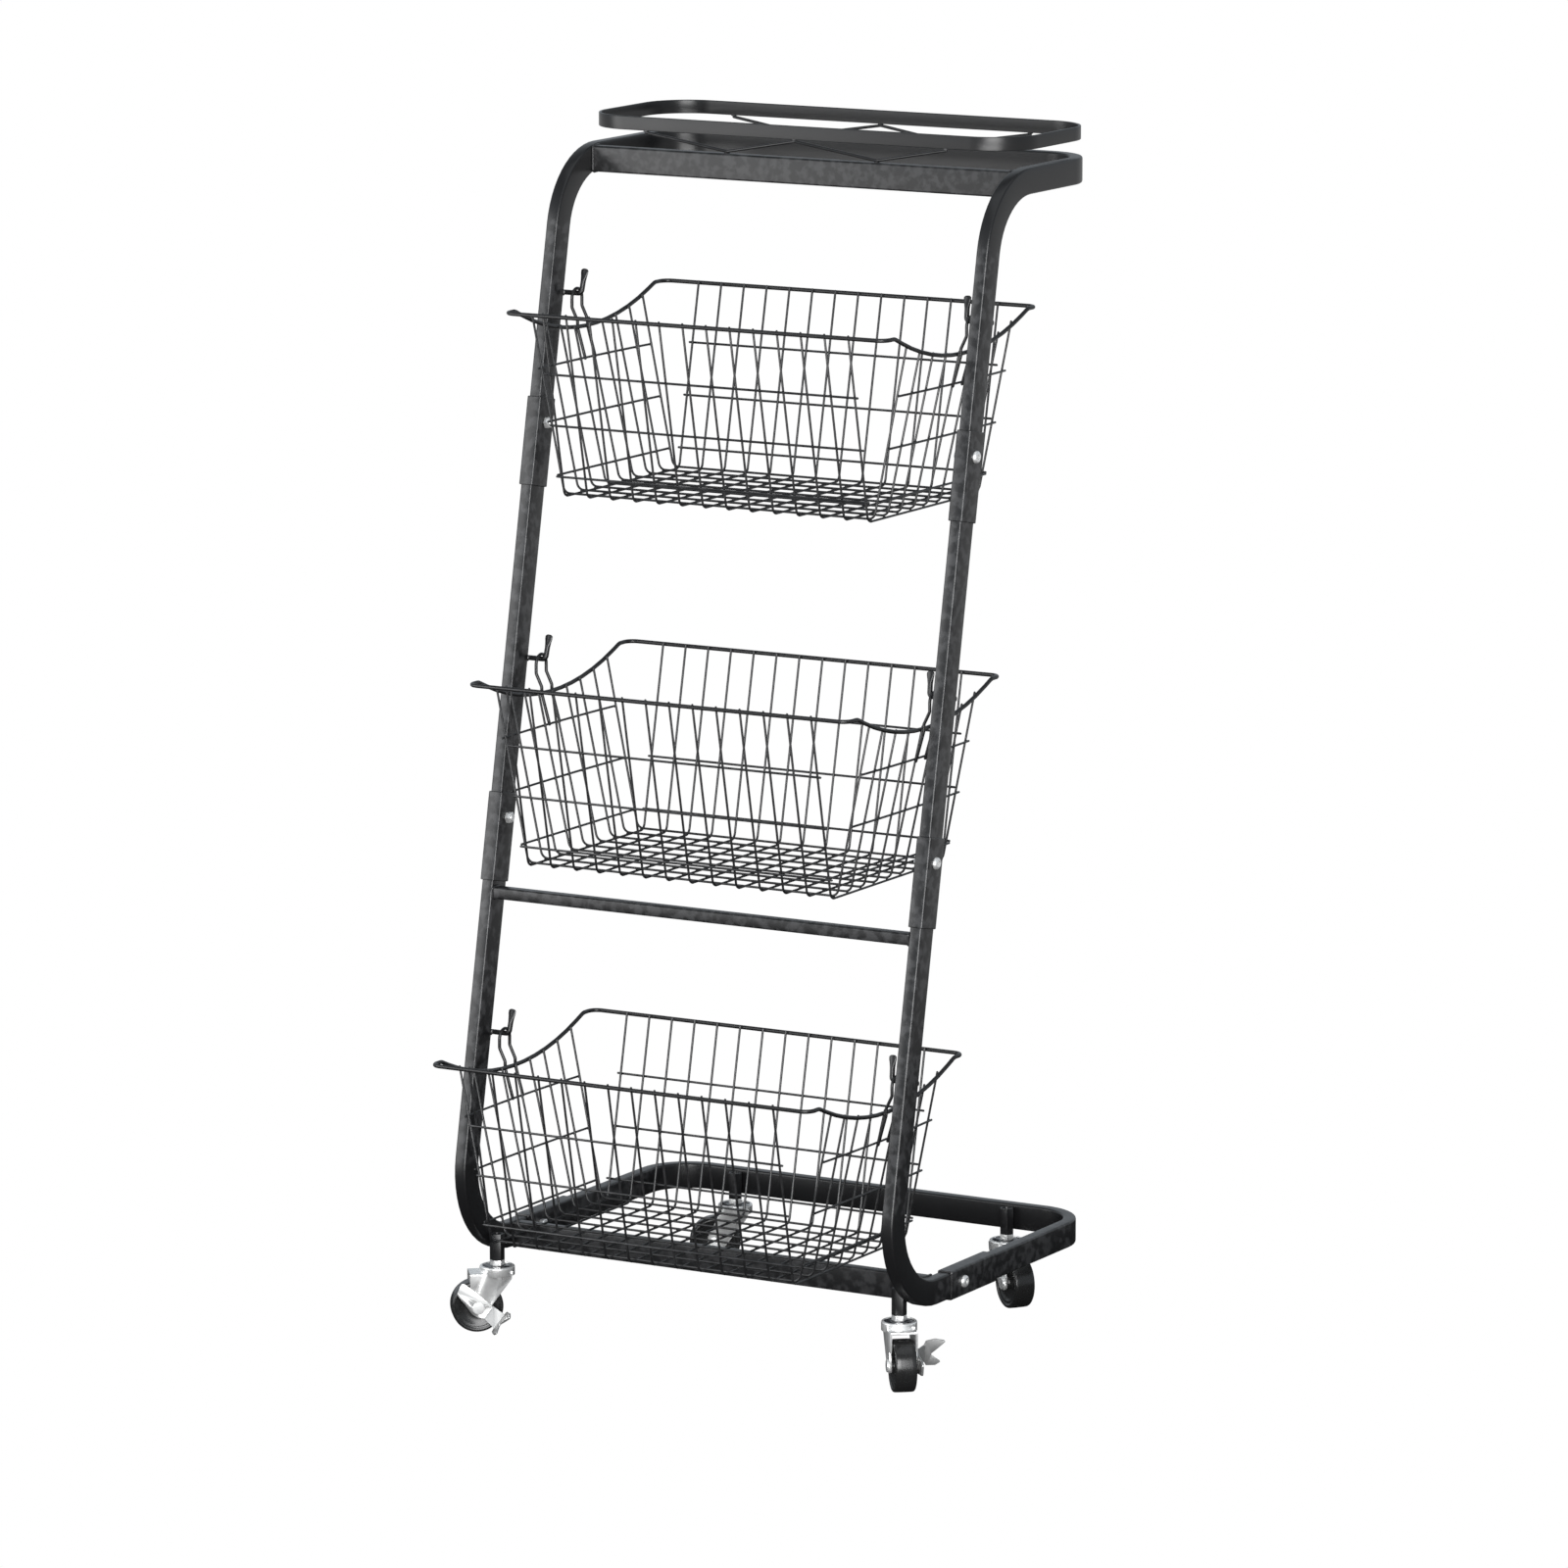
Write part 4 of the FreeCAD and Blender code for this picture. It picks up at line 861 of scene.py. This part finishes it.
@dataclass
class Guard:
    """The flat band round the top and the zigzag wires that carry it."""

    paints: Paints
    band: float = 2.0
    corner: float = 38.0
    wire: float = 2.4
    pitch: float = 65.0
    gap: float = 0.04

    def build(self) -> None:
        """Builds the band, then the front and rear zigzags with their weld nuggets."""
        paint = self.paints[Slot.FRAME]
        middle = node_middle("guard_rail")
        wide, deep, high = node_span("guard_rail")
        across, along = (wide - self.band) / 2, (deep - self.band) / 2
        corners = middle + np.array([(-across, -along, 0.0), (across, -along, 0.0),
                                     (across, along, 0.0), (-across, along, 0.0)])
        path = rounded_path(corners, self.corner - self.band / 2, 16, closed=True)
        outline = rounded_rectangle(self.band, high, 0.55, 4)
        ring = Shell().add(swept(path, outline, level_sides(path, True), closed=True),
                           loop_rows=True)
        ring.piece("guard_band", "frame", Slot.FRAME, paint, ("guard_rail",))
        radius = self.wire / 2
        for name, rail in (("front", "top_crossbar"), ("rear", "upper_frame")):
            node = "guard_zigzag_" + name
            low, top = (np.array(corner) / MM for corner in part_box(node))
            ring_y = middle[1] + (-along if name == "front" else along)
            rail_y = node_middle(rail)[1] if name == "front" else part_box(rail)[1][1] / MM - 5.0
            steps = np.arange(-2, 3)
            up = steps % 2 == 0
            corners = np.column_stack([steps * self.pitch, np.where(up, ring_y, rail_y),
                                       np.where(up, top[2] - radius, low[2] + radius)])
            path = rounded_path(corners, 2 * radius + 1, 6)
            shell = Shell().add(swept(path, circle(radius, 10), Y_AXIS, ease=radius))
            foot = corners[~up] - Z_AXIS * radius
            head = corners[up] + Z_AXIS * radius
            shell.add(beads(np.vstack([foot, head]), (2.6, 1.5, 0.9)))
            shell.piece("zigzag_" + name, "frame", Slot.WIRE, self.paints[Slot.WIRE], (node,))


# ---------------------------------------------------------------- pegs and baskets

@dataclass
class Pegs:
    """Bent wire pegs welded behind the uprights, each flattened to a flared tip."""

    paints: Paints
    tubes: TubeFrame
    wire: float = 4.0
    reach: float = 167.0
    rise: float = 18.0
    lean_in: float = 1.2
    spade: tuple[float, float, float] = (6.4, 9.0, 1.3)

    def build(self, name: str, y: float, level: float) -> None:
        """Builds the pair of pegs of one basket.

        Args:
            name: The basket's name.
            y: Y of the pegs' line.
            level: Height of the pegs' centre line.
        """
        radius = self.wire / 2
        wide, tall, thin = self.spade
        shell = Shell()
        for _, sign in SIDES:
            start = np.array((sign * (self.tubes.side + 3.0), y, level))
            corner = np.array((sign * self.reach, y, level))
            tip = np.array((-sign * self.lean_in, self.tubes.lean * self.rise, self.rise))
            share = np.array([1 - tall / self.rise, 0.62, 0.72, 0.85, 0.96, 1.0])
            stem = rounded_path([start, corner, corner + tip * share[0]], [0.0, 1.5 * radius, 0.0])
            path = np.vstack([stem, corner + tip * share[1:, None]])
            half_wide = np.r_[np.full(len(stem), radius), np.interp(
                share[1:], (0.5, 0.85, 0.96, 1.0), (radius, wide / 2, wide / 2, wide / 2 - 0.8))]
            half_thin = np.r_[np.full(len(stem), radius), np.interp(
                share[1:], (0.5, 0.85, 1.0), (radius, thin / 2 + 0.1, thin / 2))]
            outline = circle(1.0, 12) * np.stack([half_thin, half_wide], -1)[:, None]
            shell.add(swept(path, outline, Y_AXIS, ease=0.6))
            shell.add(beads([(sign * (self.tubes.side - self.tubes.thick / 2 + 1.2),
                              y - radius, level)], (2.2, 1.4, 2.6)))
        shell.piece("pegs_" + name, "frame", Slot.FRAME, self.paints[Slot.FRAME],
                    ("basket_pegs_" + name,))


@dataclass
class Basket:
    """A tapered wire basket with a rim that dips at both sides, and two peg hangers."""

    name: str
    paints: Paints
    half_width: float = 163.2
    half_depth: float = 117.5
    rim_wire: float = 3.2
    corner: float = 8.0
    dip: float = 22.2
    dip_reach: float = 103.0
    dip_slope: float = 0.405
    dip_blend: float = 12.0
    deep: float = 140.3
    floor_width: float = 133.8
    floor_depth: float = 87.5
    wire: float = 1.8
    pitch: float = 20.16
    bend: float = 6.0
    tip: float = 1.2
    first_rod: float = 45.2
    rod_pitch: float = 39.85
    front_rod: float = 134.5
    side_rod: float = 82.5
    gap: float = 0.04
    hanger_wire: float = 2.5
    hanger_half: float = 7.3
    hanger_plane: float = 171.0
    hang_clearance: float = 0.35
    peg_above: float = 2.2
    peg_wire: float = 4.0
    long_count: int = 14
    cross_count: int = 9
    place: Array = field(init=False)

    def __post_init__(self) -> None:
        """Finds the rim's middle from the CAD node, and the walls' leans."""
        middle = node_middle(self.node("rim"))
        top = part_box(self.node("rim"))[1][2] / MM - self.rim_wire / 2
        self.place = np.array((0.0, middle[1], top))
        self.radius = self.wire / 2
        self.lean = (self.half_depth - self.floor_depth) / self.deep
        reach = self.rim_wire / 2 + self.radius + self.gap
        self.side_top = self.half_width - reach
        self.front_top = self.half_depth - reach / math.cos(math.atan(self.lean))
        self.cross_floor = -self.deep + self.wire + self.gap
        self.across = (np.arange(self.long_count) - (self.long_count - 1) / 2) * self.pitch
        self.back = (np.arange(self.cross_count) - (self.cross_count - 1) / 2) * self.pitch
        self.rods = -self.first_rod - np.arange(3) * self.rod_pitch

    def node(self, part: str) -> str:
        """The CAD node of one of the basket's parts."""
        return "%s_basket_%s" % (self.name, part)

    def dip_radius(self) -> float:
        """Radius of the dip's bottom, from its depth and its flanks' slope."""
        drop = self.dip_reach * self.dip_slope
        return (drop - self.dip) / (1 / math.cos(math.atan(self.dip_slope)) - 1)

    def rim_drop(self, y: Array) -> Array:
        """How far the side rim lies below its corners: an arc, then straight flanks."""
        radius = self.dip_radius()
        flank = radius * math.sin(math.atan(self.dip_slope))
        near = np.minimum(np.abs(y), flank)
        arc = self.dip - radius + np.sqrt(radius ** 2 - near ** 2)
        straight = np.maximum((self.dip_reach - np.abs(y)) * self.dip_slope, 0.0)
        return np.where(np.abs(y) < flank, arc, straight)

    def wall_x(self, y: Array, z: Array) -> Array:
        """X of the side wires: straight from the floor's edge to the dipping rim."""
        share = (z - self.cross_floor) / (-self.rim_drop(y) - self.cross_floor)
        return self.floor_width + (self.side_top - self.floor_width) * share

    def wall_y(self, z: Array) -> Array:
        """Y of the front and back wires at a height."""
        return self.front_top + self.lean * z

    def build(self) -> None:
        """Builds the basket's five pieces."""
        self.add(self.rim(), "rim")
        self.add(self.long_wires(), "long_wires")
        self.add(self.cross_wires(), "cross_wires")
        self.add(self.panel_wires(), "panel_wires")
        self.add(self.hangers(), "hangers")

    def add(self, shell: Shell, part: str) -> None:
        """Moves a shell to the basket's place and finishes it."""
        shell.points = [points + self.place for points in shell.points]
        shell.piece("%s_%s_piece" % (self.name, part), self.name + "_basket", Slot.WIRE,
                    self.paints[Slot.WIRE], (self.node(part),))

    def rim(self) -> Shell:
        """The rim: a closed wire whose two sides dip in upright planes."""
        w, d, reach = self.half_width, self.half_depth, self.dip_reach
        drop = reach * self.dip_slope
        right = [(w, -d, 0.0), (w, -reach, 0.0), (w, 0.0, -drop), (w, reach, 0.0), (w, d, 0.0)]
        corners = np.array(right + [(-x, -y, z) for x, y, z in right])
        bends = [self.corner, self.dip_blend, self.dip_radius(), self.dip_blend, self.corner] * 2
        path = rounded_path(corners, bends, 13, closed=True)
        shell = Shell().add(swept(path, circle(self.rim_wire / 2, 12), Z_AXIS, closed=True),
                            loop_rows=True)
        y = self.wall_y(0.0) + self.radius
        sides = self.wall_x(self.back, -self.rim_drop(self.back)) + self.radius
        contact = [np.column_stack([self.across, np.full(self.long_count, s * y),
                                    np.zeros(self.long_count)]) for s in (-1, 1)]
        contact += [np.column_stack([s * sides, self.back, -self.rim_drop(self.back)])
                    for s in (-1, 1)]
        return shell.add(beads(np.vstack(contact), (1.25, 1.25, 1.25)))

    def long_wires(self) -> Shell:
        """U wires that run down the front, along the floor and up the back."""
        low = self.wall_y(-self.deep)
        corners = [(0.0, -self.wall_y(self.tip), self.tip), (0.0, -low, -self.deep),
                   (0.0, low, -self.deep), (0.0, self.wall_y(self.tip), self.tip)]
        path = rounded_path(corners, [0.0, self.bend, self.bend, 0.0], 7)
        wire = swept(path, circle(self.radius), X_AXIS, ease=self.radius)
        shell = Shell().add(wire + self.across[:, None, None, None] * X_AXIS)
        x, y = np.meshgrid(self.across, self.back)
        crossing = np.column_stack([x.ravel(), y.ravel(),
                                    np.full(x.size, self.cross_floor - self.radius)])
        return shell.add(beads(crossing, (1.15, 1.15, 0.8)))

    def cross_wires(self) -> Shell:
        """U wires that run down one side, across the floor and up the other."""
        shell = Shell()
        for y in self.back:
            top = self.tip - float(self.rim_drop(y))
            x_top = float(self.wall_x(y, top))
            corners = [(-x_top, y, top), (-self.floor_width, y, self.cross_floor),
                       (self.floor_width, y, self.cross_floor), (x_top, y, top)]
            path = rounded_path(corners, [0.0, self.bend, self.bend, 0.0], 7)
            shell.add(swept(path, circle(self.radius), Y_AXIS, ease=self.radius))
        return shell

    def panel_wires(self) -> Shell:
        """Three rods outside each wall; the side ones bow out as the square of Y."""
        shell = Shell()
        spread = self.wire + self.gap
        lifted = spread / math.cos(math.atan(self.lean))
        share = np.linspace(-1.0, 1.0, 13)
        nuggets = []
        for z in self.rods:
            y = self.wall_y(z) + lifted
            x_mid, x_end = (float(self.wall_x(v, z)) + spread for v in (0.0, self.side_rod - 2))
            bow = x_mid + (x_end - x_mid) * share ** 2
            near = float(self.wall_y(z)) + lifted / 2
            sides = self.wall_x(self.back, z) + spread / 2
            for sign in (-1, 1):
                front = np.array([(-self.front_rod, sign * y, z), (self.front_rod, sign * y, z)])
                shell.add(swept(front, circle(self.radius), Z_AXIS, ease=self.radius))
                side = np.column_stack([sign * bow, share * self.side_rod, np.full(13, z)])
                shell.add(swept(side, circle(self.radius), Z_AXIS, ease=self.radius))
                nuggets.append(np.column_stack([self.across, np.full(self.long_count, sign * near),
                                                np.full(self.long_count, z)]))
                nuggets.append(np.column_stack([sign * sides, self.back,
                                                np.full(self.cross_count, z)]))
        return shell.add(beads(np.vstack(nuggets), (1.1, 1.1, 1.1)))

    def hangers(self) -> Shell:
        """Arches that hook over the pegs, with legs down outside the rim to the first rod."""
        radius, half = self.hanger_wire / 2, self.hanger_half
        rim = self.half_width + self.rim_wire / 2 + radius + self.gap
        foot = float(self.wall_x(0.0, -self.first_rod)) + 3 * self.radius + radius + 2 * self.gap
        level = -float(self.rim_drop(half))
        top = self.peg_above + self.peg_wire / 2 + radius + self.hang_clearance
        shell = Shell()
        for sign in (-1, 1):
            leg = np.array([(sign * foot, -half, -self.first_rod - 1.0), (sign * rim, -half, level - 1),
                            (sign * rim, -half, level + 4),
                            (sign * self.hanger_plane, -half, level + 14),
                            (sign * self.hanger_plane, -half, top)])
            corners = np.vstack([leg, leg[::-1] * np.array((1.0, -1.0, 1.0))])
            bends = [0, 4, 4, 4, half - 0.01, half - 0.01, 4, 4, 4, 0]
            path = rounded_path(corners, bends, 7)
            shell.add(swept(path, circle(radius, 10), X_AXIS, ease=radius))
            touch = [(sign * (rim - radius), y, level) for y in (-half, half)]
            shell.add(beads(touch, (1.5, 1.5, 1.5)))
        return shell


# ---------------------------------------------------------------- castors

@dataclass
class Wheel:
    """A solid wheel turned in one piece: crowned tread, dished web and a stepped hub."""

    across: float = 40.0
    wide: float = 16.4
    hub_wide: float = 17.2
    hub: float = 11.0
    bore: float = 6.16
    dish: float = 1.2

    def grid(self) -> Array:
        """The wheel's closed profile turned about its axle, with the axle along Y."""
        outer, half, web = self.across / 2, self.wide / 2, self.wide / 2 - self.dish
        hub = self.hub / 2
        face = np.array([(self.bore / 2, self.hub_wide / 2 - 0.3),
                         (self.bore / 2 + 0.3, self.hub_wide / 2),
                         (hub - 0.4, self.hub_wide / 2), (hub, self.hub_wide / 2 - 0.4),
                         (hub + 0.4, web + 0.1), (hub + 1.2, web), (outer - 6.2, web),
                         (outer - 5.9, web + 0.25), (outer - 4.2, web + 0.25),
                         (outer - 3.4, web + 0.35), (outer - 2.6, half - 0.15),
                         (outer - 1.9, half), (outer - 1.1, half - 0.12),
                         (outer - 0.45, half - 0.6), (outer - 0.12, half - 1.4),
                         (outer - 0.02, half - 4.0), (outer, 0.25)])
        mirrored = face[::-1] * np.array((1.0, -1.0))
        return turned(np.vstack([face, mirrored]), 72)[..., [0, 2, 1]]


@dataclass
class Castor:
    """One castor: its wheel, stamped fork, riveted axle and, in front, a brake lever."""

    name: str
    paints: Paints
    braked: bool
    wheel: Wheel = field(default_factory=Wheel)

    def build(self) -> None:
        """Builds the wheel anew and eases the edges of the metal parts."""
        hub = next(j for j in frame["joints"] if j["name"] == self.name + "_spin")
        heading = math.degrees(math.atan2(-hub["axis"][0], hub["axis"][1]))
        place = tuple(v / MM for v in hub["pos_m"])
        shell = Shell().add(moved(self.wheel.grid(), place, heading), loop_rows=True)
        shell.piece(self.name + "_roller", self.name + "_wheel", Slot.WHEEL,
                    self.paints[Slot.WHEEL], (self.name + "_wheel",), 50.0)
        bright = self.paints[Slot.BRIGHT]
        softened(self.name + "_fork", self.name + "_swivel", bright)
        softened(self.name + "_axle", self.name + "_swivel", bright, 0.15)
        if self.braked:
            softened(self.name + "_brake_lever", self.name + "_brake",
                     self.paints[Slot.SATIN], 0.2)


# ---------------------------------------------------------------- studio

@dataclass(frozen=True)
class Softbox:
    """A rectangular area light aimed at a point."""

    name: str
    place: tuple[float, float, float]
    aim: tuple[float, float, float]
    wide: float
    high: float
    power: float
    colour: tuple[float, float, float] = (1.0, 1.0, 1.0)

    def build(self) -> None:
        """Adds the light."""
        data = bpy.data.lights.new(self.name, "AREA")
        data.shape = "RECTANGLE"
        data.size, data.size_y = self.wide, self.high
        data.energy = self.power
        data.color = self.colour
        light = bpy.data.objects.new(self.name, data)
        light.location = self.place
        towards = Vector(self.aim) - Vector(self.place)
        light.rotation_euler = towards.to_track_quat("-Z", "Y").to_euler()
        bpy.context.scene.collection.objects.link(light)


@dataclass
class Studio:
    """A pale floor, a soft surround, softboxes and the camera."""

    camera_place: tuple[float, float, float] = (3.1797, -5.5384, 1.5908)
    camera_look: tuple[float, float, float] = (-0.4897, 0.8530, -0.1804)
    lens: float = 195.9
    plinth: float = 1.0
    boxes: tuple[Softbox, ...] = (
        Softbox("key", (-1.45, -1.45, 0.72), (-0.19, -0.1, 0.5), 1.2, 1.5, 17.0),
        Softbox("front", (1.5, -2.5, 1.35), (0.0, 0.0, 0.35), 1.7, 1.2, 62.0),
        Softbox("low_front", (0.9, -1.9, 0.30), (0.0, 0.0, 0.05), 1.6, 0.5, 24.0),
        Softbox("overhead", (0.2, -0.3, 2.6), (0.0, 0.0, 0.4), 2.2, 2.2, 10.0,
                (0.93, 0.97, 1.0)),
    )

    def build(self) -> None:
        """Builds everything round the cart."""
        self.build_floor()
        self.build_surround()
        for box in self.boxes:
            box.build()
        self.build_camera()

    def build_floor(self) -> None:
        """A wide level floor with a plain pale finish."""
        mesh = bpy.data.meshes.new("floor")
        reach = 40.0
        mesh.from_pydata([(-reach, -reach, 0.0), (reach, -reach, 0.0), (reach, reach, 0.0),
                          (-reach, reach, 0.0)], [], [(0, 1, 2, 3)])
        floor = bpy.data.objects.new("floor", mesh)
        bpy.context.scene.collection.objects.link(floor)
        mesh.materials.append(self.floor_paint())

    def floor_paint(self) -> bpy.types.Material:
        """Plain white to the eye; in reflections, dark round the cart and pale further out.

        The dark part keeps the black coating and the bright plate from washing out.
        """
        material = bpy.data.materials.new("studio_floor")
        material.use_nodes = True
        tree = material.node_tree
        shader = tree.nodes["Principled BSDF"]
        shader.inputs["Base Color"].default_value = (0.05, 0.05, 0.05, 1.0)
        shader.inputs["Roughness"].default_value = 0.9
        shader.inputs["Specular IOR Level"].default_value = 0.1
        far = tree.nodes.new("ShaderNodeVectorMath")
        far.operation = "LENGTH"
        tree.links.new(tree.nodes.new("ShaderNodeTexCoord").outputs["Object"], far.inputs[0])
        glow = Effects.ranged(tree, far.outputs["Value"], self.plinth, 1.5 * self.plinth,
                              0.0, 0.5)
        shader.inputs["Emission Color"].default_value = (1.0, 1.0, 1.0, 1.0)
        tree.links.new(glow, shader.inputs["Emission Strength"])
        white = tree.nodes.new("ShaderNodeEmission")
        white.inputs["Strength"].default_value = 1.0
        white.inputs["Color"].default_value = (1.0, 1.0, 1.0, 1.0)
        seen = tree.nodes.new("ShaderNodeLightPath").outputs["Is Camera Ray"]
        mix = tree.nodes.new("ShaderNodeMixShader")
        tree.links.new(seen, mix.inputs[0])
        tree.links.new(shader.outputs[0], mix.inputs[1])
        tree.links.new(white.outputs[0], mix.inputs[2])
        tree.links.new(mix.outputs[0], tree.nodes["Material Output"].inputs["Surface"])
        return material

    def build_surround(self) -> None:
        """A surround that is bright round the horizon and dims towards the zenith."""
        world = bpy.data.worlds.new("studio")
        world.use_nodes = True
        tree = world.node_tree
        parts = tree.nodes.new("ShaderNodeSeparateXYZ")
        tree.links.new(tree.nodes.new("ShaderNodeTexCoord").outputs["Generated"],
                       parts.inputs[0])
        strength = Effects.ranged(tree, parts.outputs["Z"], 0.45, 0.9, 0.55, 0.12)
        tree.nodes["Background"].inputs["Color"].default_value = (0.86, 0.93, 1.0, 1.0)
        tree.links.new(strength, tree.nodes["Background"].inputs["Strength"])
        bpy.context.scene.world = world

    def build_camera(self) -> None:
        """The camera on its long lens, looking slightly down from the right."""
        data = bpy.data.cameras.new("camera")
        data.lens = self.lens
        data.sensor_width = 36.0
        data.clip_end = 200.0
        camera = bpy.data.objects.new("camera", data)
        camera.location = self.camera_place
        camera.rotation_euler = Vector(self.camera_look).to_track_quat("-Z", "Y").to_euler()
        bpy.context.scene.collection.objects.link(camera)
        bpy.context.scene.camera = camera
        bpy.context.scene.view_settings.view_transform = "Standard"


def main() -> None:
    """Builds the cart piece by piece and then the studio."""
    logging.basicConfig(level=logging.INFO, format="%(name)s: %(message)s")
    paints = Paints()
    paints.dress_nodes()
    tubes = TubeFrame(paints)
    tubes.build()
    Hardware(paints, tubes).build()
    Guard(paints).build()
    pegs = Pegs(paints, tubes)
    for name in ("top", "middle", "bottom"):
        basket = Basket(name, paints)
        basket.build()
        pegs.build(name, basket.place[1], basket.place[2] + basket.peg_above)
    for name, braked in (("front_left", True), ("front_right", True), ("rear_left", False),
                         ("rear_right", False)):
        Castor(name, paints, braked).build()
    for node, slot in (("caster_sockets", Slot.FRAME), ("caster_stems", Slot.BRIGHT),
                       ("caster_races", Slot.DARK)):
        softened(node, "frame", paints[slot], 0.2)
    Studio().build()


if __name__ == "__main__":
    main()
